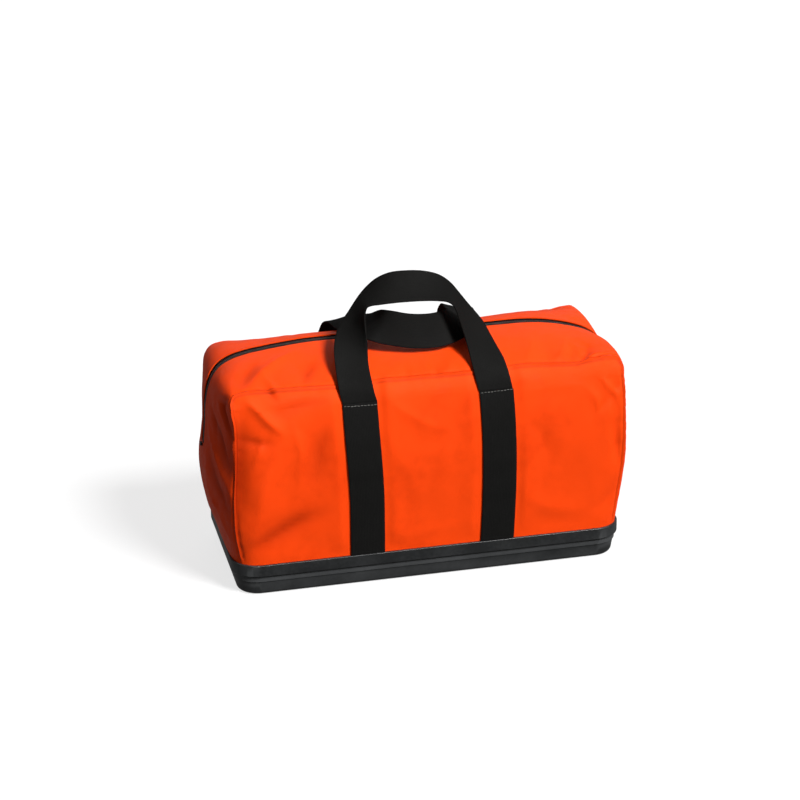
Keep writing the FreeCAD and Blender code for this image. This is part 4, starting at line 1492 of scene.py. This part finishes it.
# ---- zip -------------------------------------------------------------------------------------------
@dataclass
class Zip:
    """The zip's tapes and teeth, along the top and down both ends.

    Attributes:
        body: The sewn body, which gives its line.
        finishes: The finishes.
        tape_outer: Where a tape's hidden edge is, from the middle.
        tape_inner: Where its toothed edge is.
        depth: How far the tapes lie under the cloth's outside.
        pitch: Spacing of the teeth on one side.
    """

    body: SewnBody
    finishes: Finishes
    tape_outer: float = 19.0
    tape_inner: float = 1.3
    depth: float = 2.8
    tape: float = 0.9
    pitch: float = 2.6
    tooth: Tuple[float, float, float] = (1.55, 3.2, 2.3)

    def line(self, side: Side) -> np.ndarray:
        """The zip's line on one side of the bag, from the middle of the top to its end, in the XZ plane."""
        top = self.body.zip_line(side)
        z = np.linspace(self.body.fold_z, self.body.slot_end_z, 60)[1:]
        down = np.stack([self.body.end_x(side, z), np.full(len(z), self.body.slot_half), z], axis=1)
        whole = np.concatenate([top, down])
        whole[:, 1] = 0.0
        return whole * [side.value, 1.0, 1.0]

    def frames(self, side: Side, count: int, start: float = 0.0) -> Tuple[np.ndarray, np.ndarray, np.ndarray]:
        """Evenly spaced places along the zip, with its direction and outward direction there.

        Args:
            side: Left or right.
            count: How many.
            start: How far the first is from the middle of the top.

        Returns:
            The places, the directions and the outward directions.
        """
        line = self.line(side)
        run = arc_length(line)
        at = np.linspace(start, run[-1], count) / run[-1]
        places = at_fractions(line, at)
        ahead = at_fractions(line, np.clip(at + 2.0 / run[-1], 0, 1))
        behind = at_fractions(line, np.clip(at - 2.0 / run[-1], 0, 1))
        tangent = unit(ahead - behind)
        outward = np.stack([-tangent[:, 2], np.zeros(count), tangent[:, 0]], axis=1) * side.value
        return places, tangent, outward

    def tape_piece(self, side: Side, face: Face, flap: Body) -> bpy.types.Object:
        """A tape, from under the cloth to the teeth's bead, on one side and one face."""
        length = arc_length(self.line(side))[-1]
        count = round(length / 4.0) + 1
        places, _, outward = self.frames(side, count)
        profile = [(self.tape_outer, 0.0), (14.0, 0.0), (9.5, 0.0), (7.0, 0.2), (4.6, 0.35), (3.2, 0.2),
                   (self.tape_inner, 0.0)]
        rows = []
        for y, rise in profile:
            rows.append(places + outward * (rise - self.depth) + [0.0, face.value * y, 0.0])
        points = np.array(rows)
        faces = quads(len(profile), count)
        if side.value * face.value < 0:
            faces = faces[:, ::-1]
        run = arc_length(places)
        uv = np.stack([np.repeat(np.array([p[0] for p in profile])[:, None], count, axis=1),
                       np.repeat(run[None], len(profile), axis=0)], axis=-1).reshape(-1, 2) * MM
        part = f"{face.name.lower()}_zip_tape"
        obj = make_mesh(f"{part}_{side.name.lower()}", points.reshape(-1, 3), faces.tolist(), uv)
        modify(obj, "SOLIDIFY", thickness=self.tape * MM, offset=-1.0)
        shade(obj, 60.0)
        dress(obj, self.finishes.tape)
        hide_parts(part, f"{side.name.lower()}_end_zip_tape")
        self.body.hang(obj, flap, side)
        return obj

    def tooth_shape(self) -> Tuple[np.ndarray, List[List[int]]]:
        """One tooth, modelled once: a block with softened edges, its head narrower than its neck."""
        deselect()
        bpy.ops.mesh.primitive_cube_add(size=1.0)
        obj = bpy.context.object
        obj.data.transform(Matrix.Diagonal((*self.tooth, 1.0)))
        for vertex in obj.data.vertices:
            if vertex.co.y < 0:
                vertex.co.x *= 1.25
                vertex.co.z *= 0.86
        modify(obj, "BEVEL", width=0.28, segments=1, limit_method="NONE")
        points = np.array([v.co for v in obj.data.vertices])
        faces = [list(f.vertices) for f in obj.data.polygons]
        bpy.data.objects.remove(obj)
        return points, faces

    def teeth_piece(self, side: Side, face: Face, flap: Body) -> bpy.types.Object:
        """A row of teeth on one side and one face, each a copy of the same tooth."""
        shape, rings = self.tooth_shape()
        length = arc_length(self.line(side))[-1]
        count = int((length - 6.0) / self.pitch)
        start = self.pitch * (0.25 if face is Face.FRONT else 0.75)
        places, tangent, outward = self.frames(side, count, start)
        across = np.array([0.0, face.value, 0.0])
        points, faces = [], []
        flip = side.value * face.value > 0
        for k in range(count):
            basis = np.stack([tangent[k], across, outward[k]])
            local = shape * [1, -1, 1] + [0.0, 1.75, -self.depth + 1.25]
            points.append(local @ basis + places[k])
            for ring in rings:
                numbers = [i + k * len(shape) for i in ring]
                faces.append(numbers[::-1] if flip else numbers)
        part = f"{face.name.lower()}_zip_teeth"
        obj = make_mesh(f"{part}_{side.name.lower()}", np.concatenate(points), faces)
        take(obj)
        bpy.ops.object.mode_set(mode="EDIT")
        bpy.ops.mesh.select_all(action="SELECT")
        bpy.ops.mesh.normals_make_consistent(inside=False)
        bpy.ops.object.mode_set(mode="OBJECT")
        shade(obj, 50.0)
        dress(obj, self.finishes.teeth)
        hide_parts(part, f"{side.name.lower()}_end_zip_teeth")
        self.body.hang(obj, flap, side)
        return obj

    def build(self) -> None:
        """Makes the tapes and teeth."""
        for face, flap in ((Face.FRONT, Body.FRONT_FLAP), (Face.BACK, Body.BACK_FLAP)):
            for side in Side:
                self.tape_piece(side, face, flap)
                self.teeth_piece(side, face, flap)
        log.info("zip made")


# ---- base ------------------------------------------------------------------------------------------
@dataclass
class Base:
    """The moulded tray, its rim band, the board inside and the zip's metal parts, which keep their shape.

    Attributes:
        nodes: The frame's parts by name.
        finishes: The finishes.
    """

    nodes: Dict[str, bpy.types.Object]
    finishes: Finishes

    def build(self) -> None:
        """Dresses the parts that keep their shape."""
        for name, material in (("base_tray", self.finishes.base), ("rim_band", self.finishes.base),
                               ("floor_panel", self.finishes.board)):
            self.paint(name, material)
        for side in ("left", "right"):
            for part in ("slider", "pull", "stop"):
                self.paint(f"{side}_zip_{part}", self.finishes.metal)

    def paint(self, name: str, material: bpy.types.Material) -> None:
        """Gives one of the frame's parts its finish."""
        obj = self.nodes[name]
        obj.data.materials.clear()
        obj.data.materials.append(material)


# ---- studio ----------------------------------------------------------------------------------------
@dataclass
class Studio:
    """The floor, the backdrop, the lights and the camera.

    Attributes:
        azimuth: How far the camera is round from the front, in degrees.
        elevation: How far it looks down, in degrees.
        roll: How far it is turned about its own line of sight, in degrees.
        focal: Its focal length, where the frame is as wide as below.
        distance: How far it is from the height that it aims at.
        aim_z: That height, over the middle of the bag.
        aim: Where in the frame that place is, from the top left corner.
        frame: The frame's width.
    """

    azimuth: float = -13.26
    elevation: float = 21.07
    roll: float = -0.63
    focal: float = 2082.18
    distance: float = 3196.25
    aim_z: float = 150.0
    aim: Tuple[float, float] = (411.31, 451.79)
    frame: float = 800.0

    def camera(self) -> None:
        """Places the camera."""
        a, e, r = (math.radians(v) for v in (self.azimuth, self.elevation, self.roll))
        back = Vector((math.sin(a) * math.cos(e), -math.cos(a) * math.cos(e), math.sin(e)))
        right = Vector((math.cos(a), math.sin(a), 0.0))
        up = back.cross(right)
        right, up = right * math.cos(r) + up * math.sin(r), up * math.cos(r) - right * math.sin(r)
        scale = self.distance / self.focal
        across, down = (value - self.frame / 2 for value in self.aim)
        place = (Vector((0.0, 0.0, self.aim_z)) - right * across * scale
                 + up * down * scale + back * self.distance)
        data = bpy.data.cameras.new("camera")
        data.lens = data.sensor_width * self.focal / self.frame
        data.clip_start, data.clip_end = 0.05, 200.0
        obj = bpy.data.objects.new("camera", data)
        bpy.context.scene.collection.objects.link(obj)
        turn = Matrix((right, up, back)).transposed().to_4x4()
        obj.matrix_world = Matrix.Translation(place * MM) @ turn
        bpy.context.scene.camera = obj

    def floor(self) -> None:
        """Lays a plain pale floor."""
        bpy.ops.object.select_all(action="DESELECT")
        bpy.ops.mesh.primitive_plane_add(size=60.0, location=(0.0, 0.0, -0.0005))
        obj = bpy.context.object
        obj.name = "floor"
        obj.data.transform(obj.matrix_world)
        obj.matrix_world = Matrix.Identity(4)
        bench = Bench("floor")
        obj.data.materials.append(bench.finish(Base_Color=(0.24, 0.24, 0.24, 1.0), Roughness=0.9,
                                               Specular_IOR_Level=0.0, Emission_Strength=0.74,
                                               Emission_Color=(1.0, 1.0, 1.0, 1.0)))
        obj.visible_diffuse = obj.visible_glossy = False

    def backdrop(self) -> None:
        """Puts a plain white backdrop beyond the floor's far edge, seen by the camera alone."""
        deselect()
        bpy.ops.mesh.primitive_uv_sphere_add(segments=48, ring_count=24, radius=27.0)
        obj = bpy.context.object
        obj.name = "backdrop"
        obj.data.flip_normals()
        bench = Bench("backdrop")
        obj.data.materials.append(bench.finish(Base_Color=(0.0, 0.0, 0.0, 1.0), Specular_IOR_Level=0.0,
                                               Emission_Strength=1.0, Emission_Color=(1.0, 1.0, 1.0, 1.0)))
        obj.visible_diffuse = obj.visible_glossy = obj.visible_shadow = False

    def sun(self, name: str, towards: Tuple[float, float, float], strength: float, spread: float,
            shines: bool = True) -> None:
        """Adds a broad, distant light.

        Args:
            name: Its name.
            towards: From the bag to the light.
            strength: Its strength.
            spread: How broad it is, in degrees.
            shines: Whether it makes highlights.
        """
        data = bpy.data.lights.new(name, "SUN")
        data.energy = strength
        data.angle = math.radians(spread)
        obj = bpy.data.objects.new(name, data)
        obj.rotation_mode = "QUATERNION"
        obj.rotation_quaternion = Vector(towards).to_track_quat("Z", "Y")
        obj.visible_glossy = shines
        bpy.context.scene.collection.objects.link(obj)

    def build(self) -> None:
        """Sets up the studio."""
        self.camera()
        self.floor()
        self.backdrop()
        self.sun("key", (0.54, -0.82, 0.92), 5.1, 18.0)
        self.sun("back", (0.20, 0.90, 0.45), 0.9, 60.0, False)
        world = bpy.data.worlds.new("studio")
        bpy.context.scene.world = world
        world.use_nodes = True
        world.node_tree.nodes["Background"].inputs[0].default_value = (1.0, 1.0, 1.0, 1.0)
        world.node_tree.nodes["Background"].inputs[1].default_value = 0.16
        bpy.context.scene.view_settings.view_transform = "Standard"


def main() -> None:
    """Builds the bag around the frame."""
    logging.basicConfig(level=logging.INFO, format="%(name)s: %(message)s")
    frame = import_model()
    finishes = Finishes()
    body = SewnBody(finishes)
    body.build()
    Straps(body, finishes).build()
    Zip(body, finishes).build()
    Base(frame["nodes"], finishes).build()
    Studio().build()


if __name__ == "__main__":
    main()
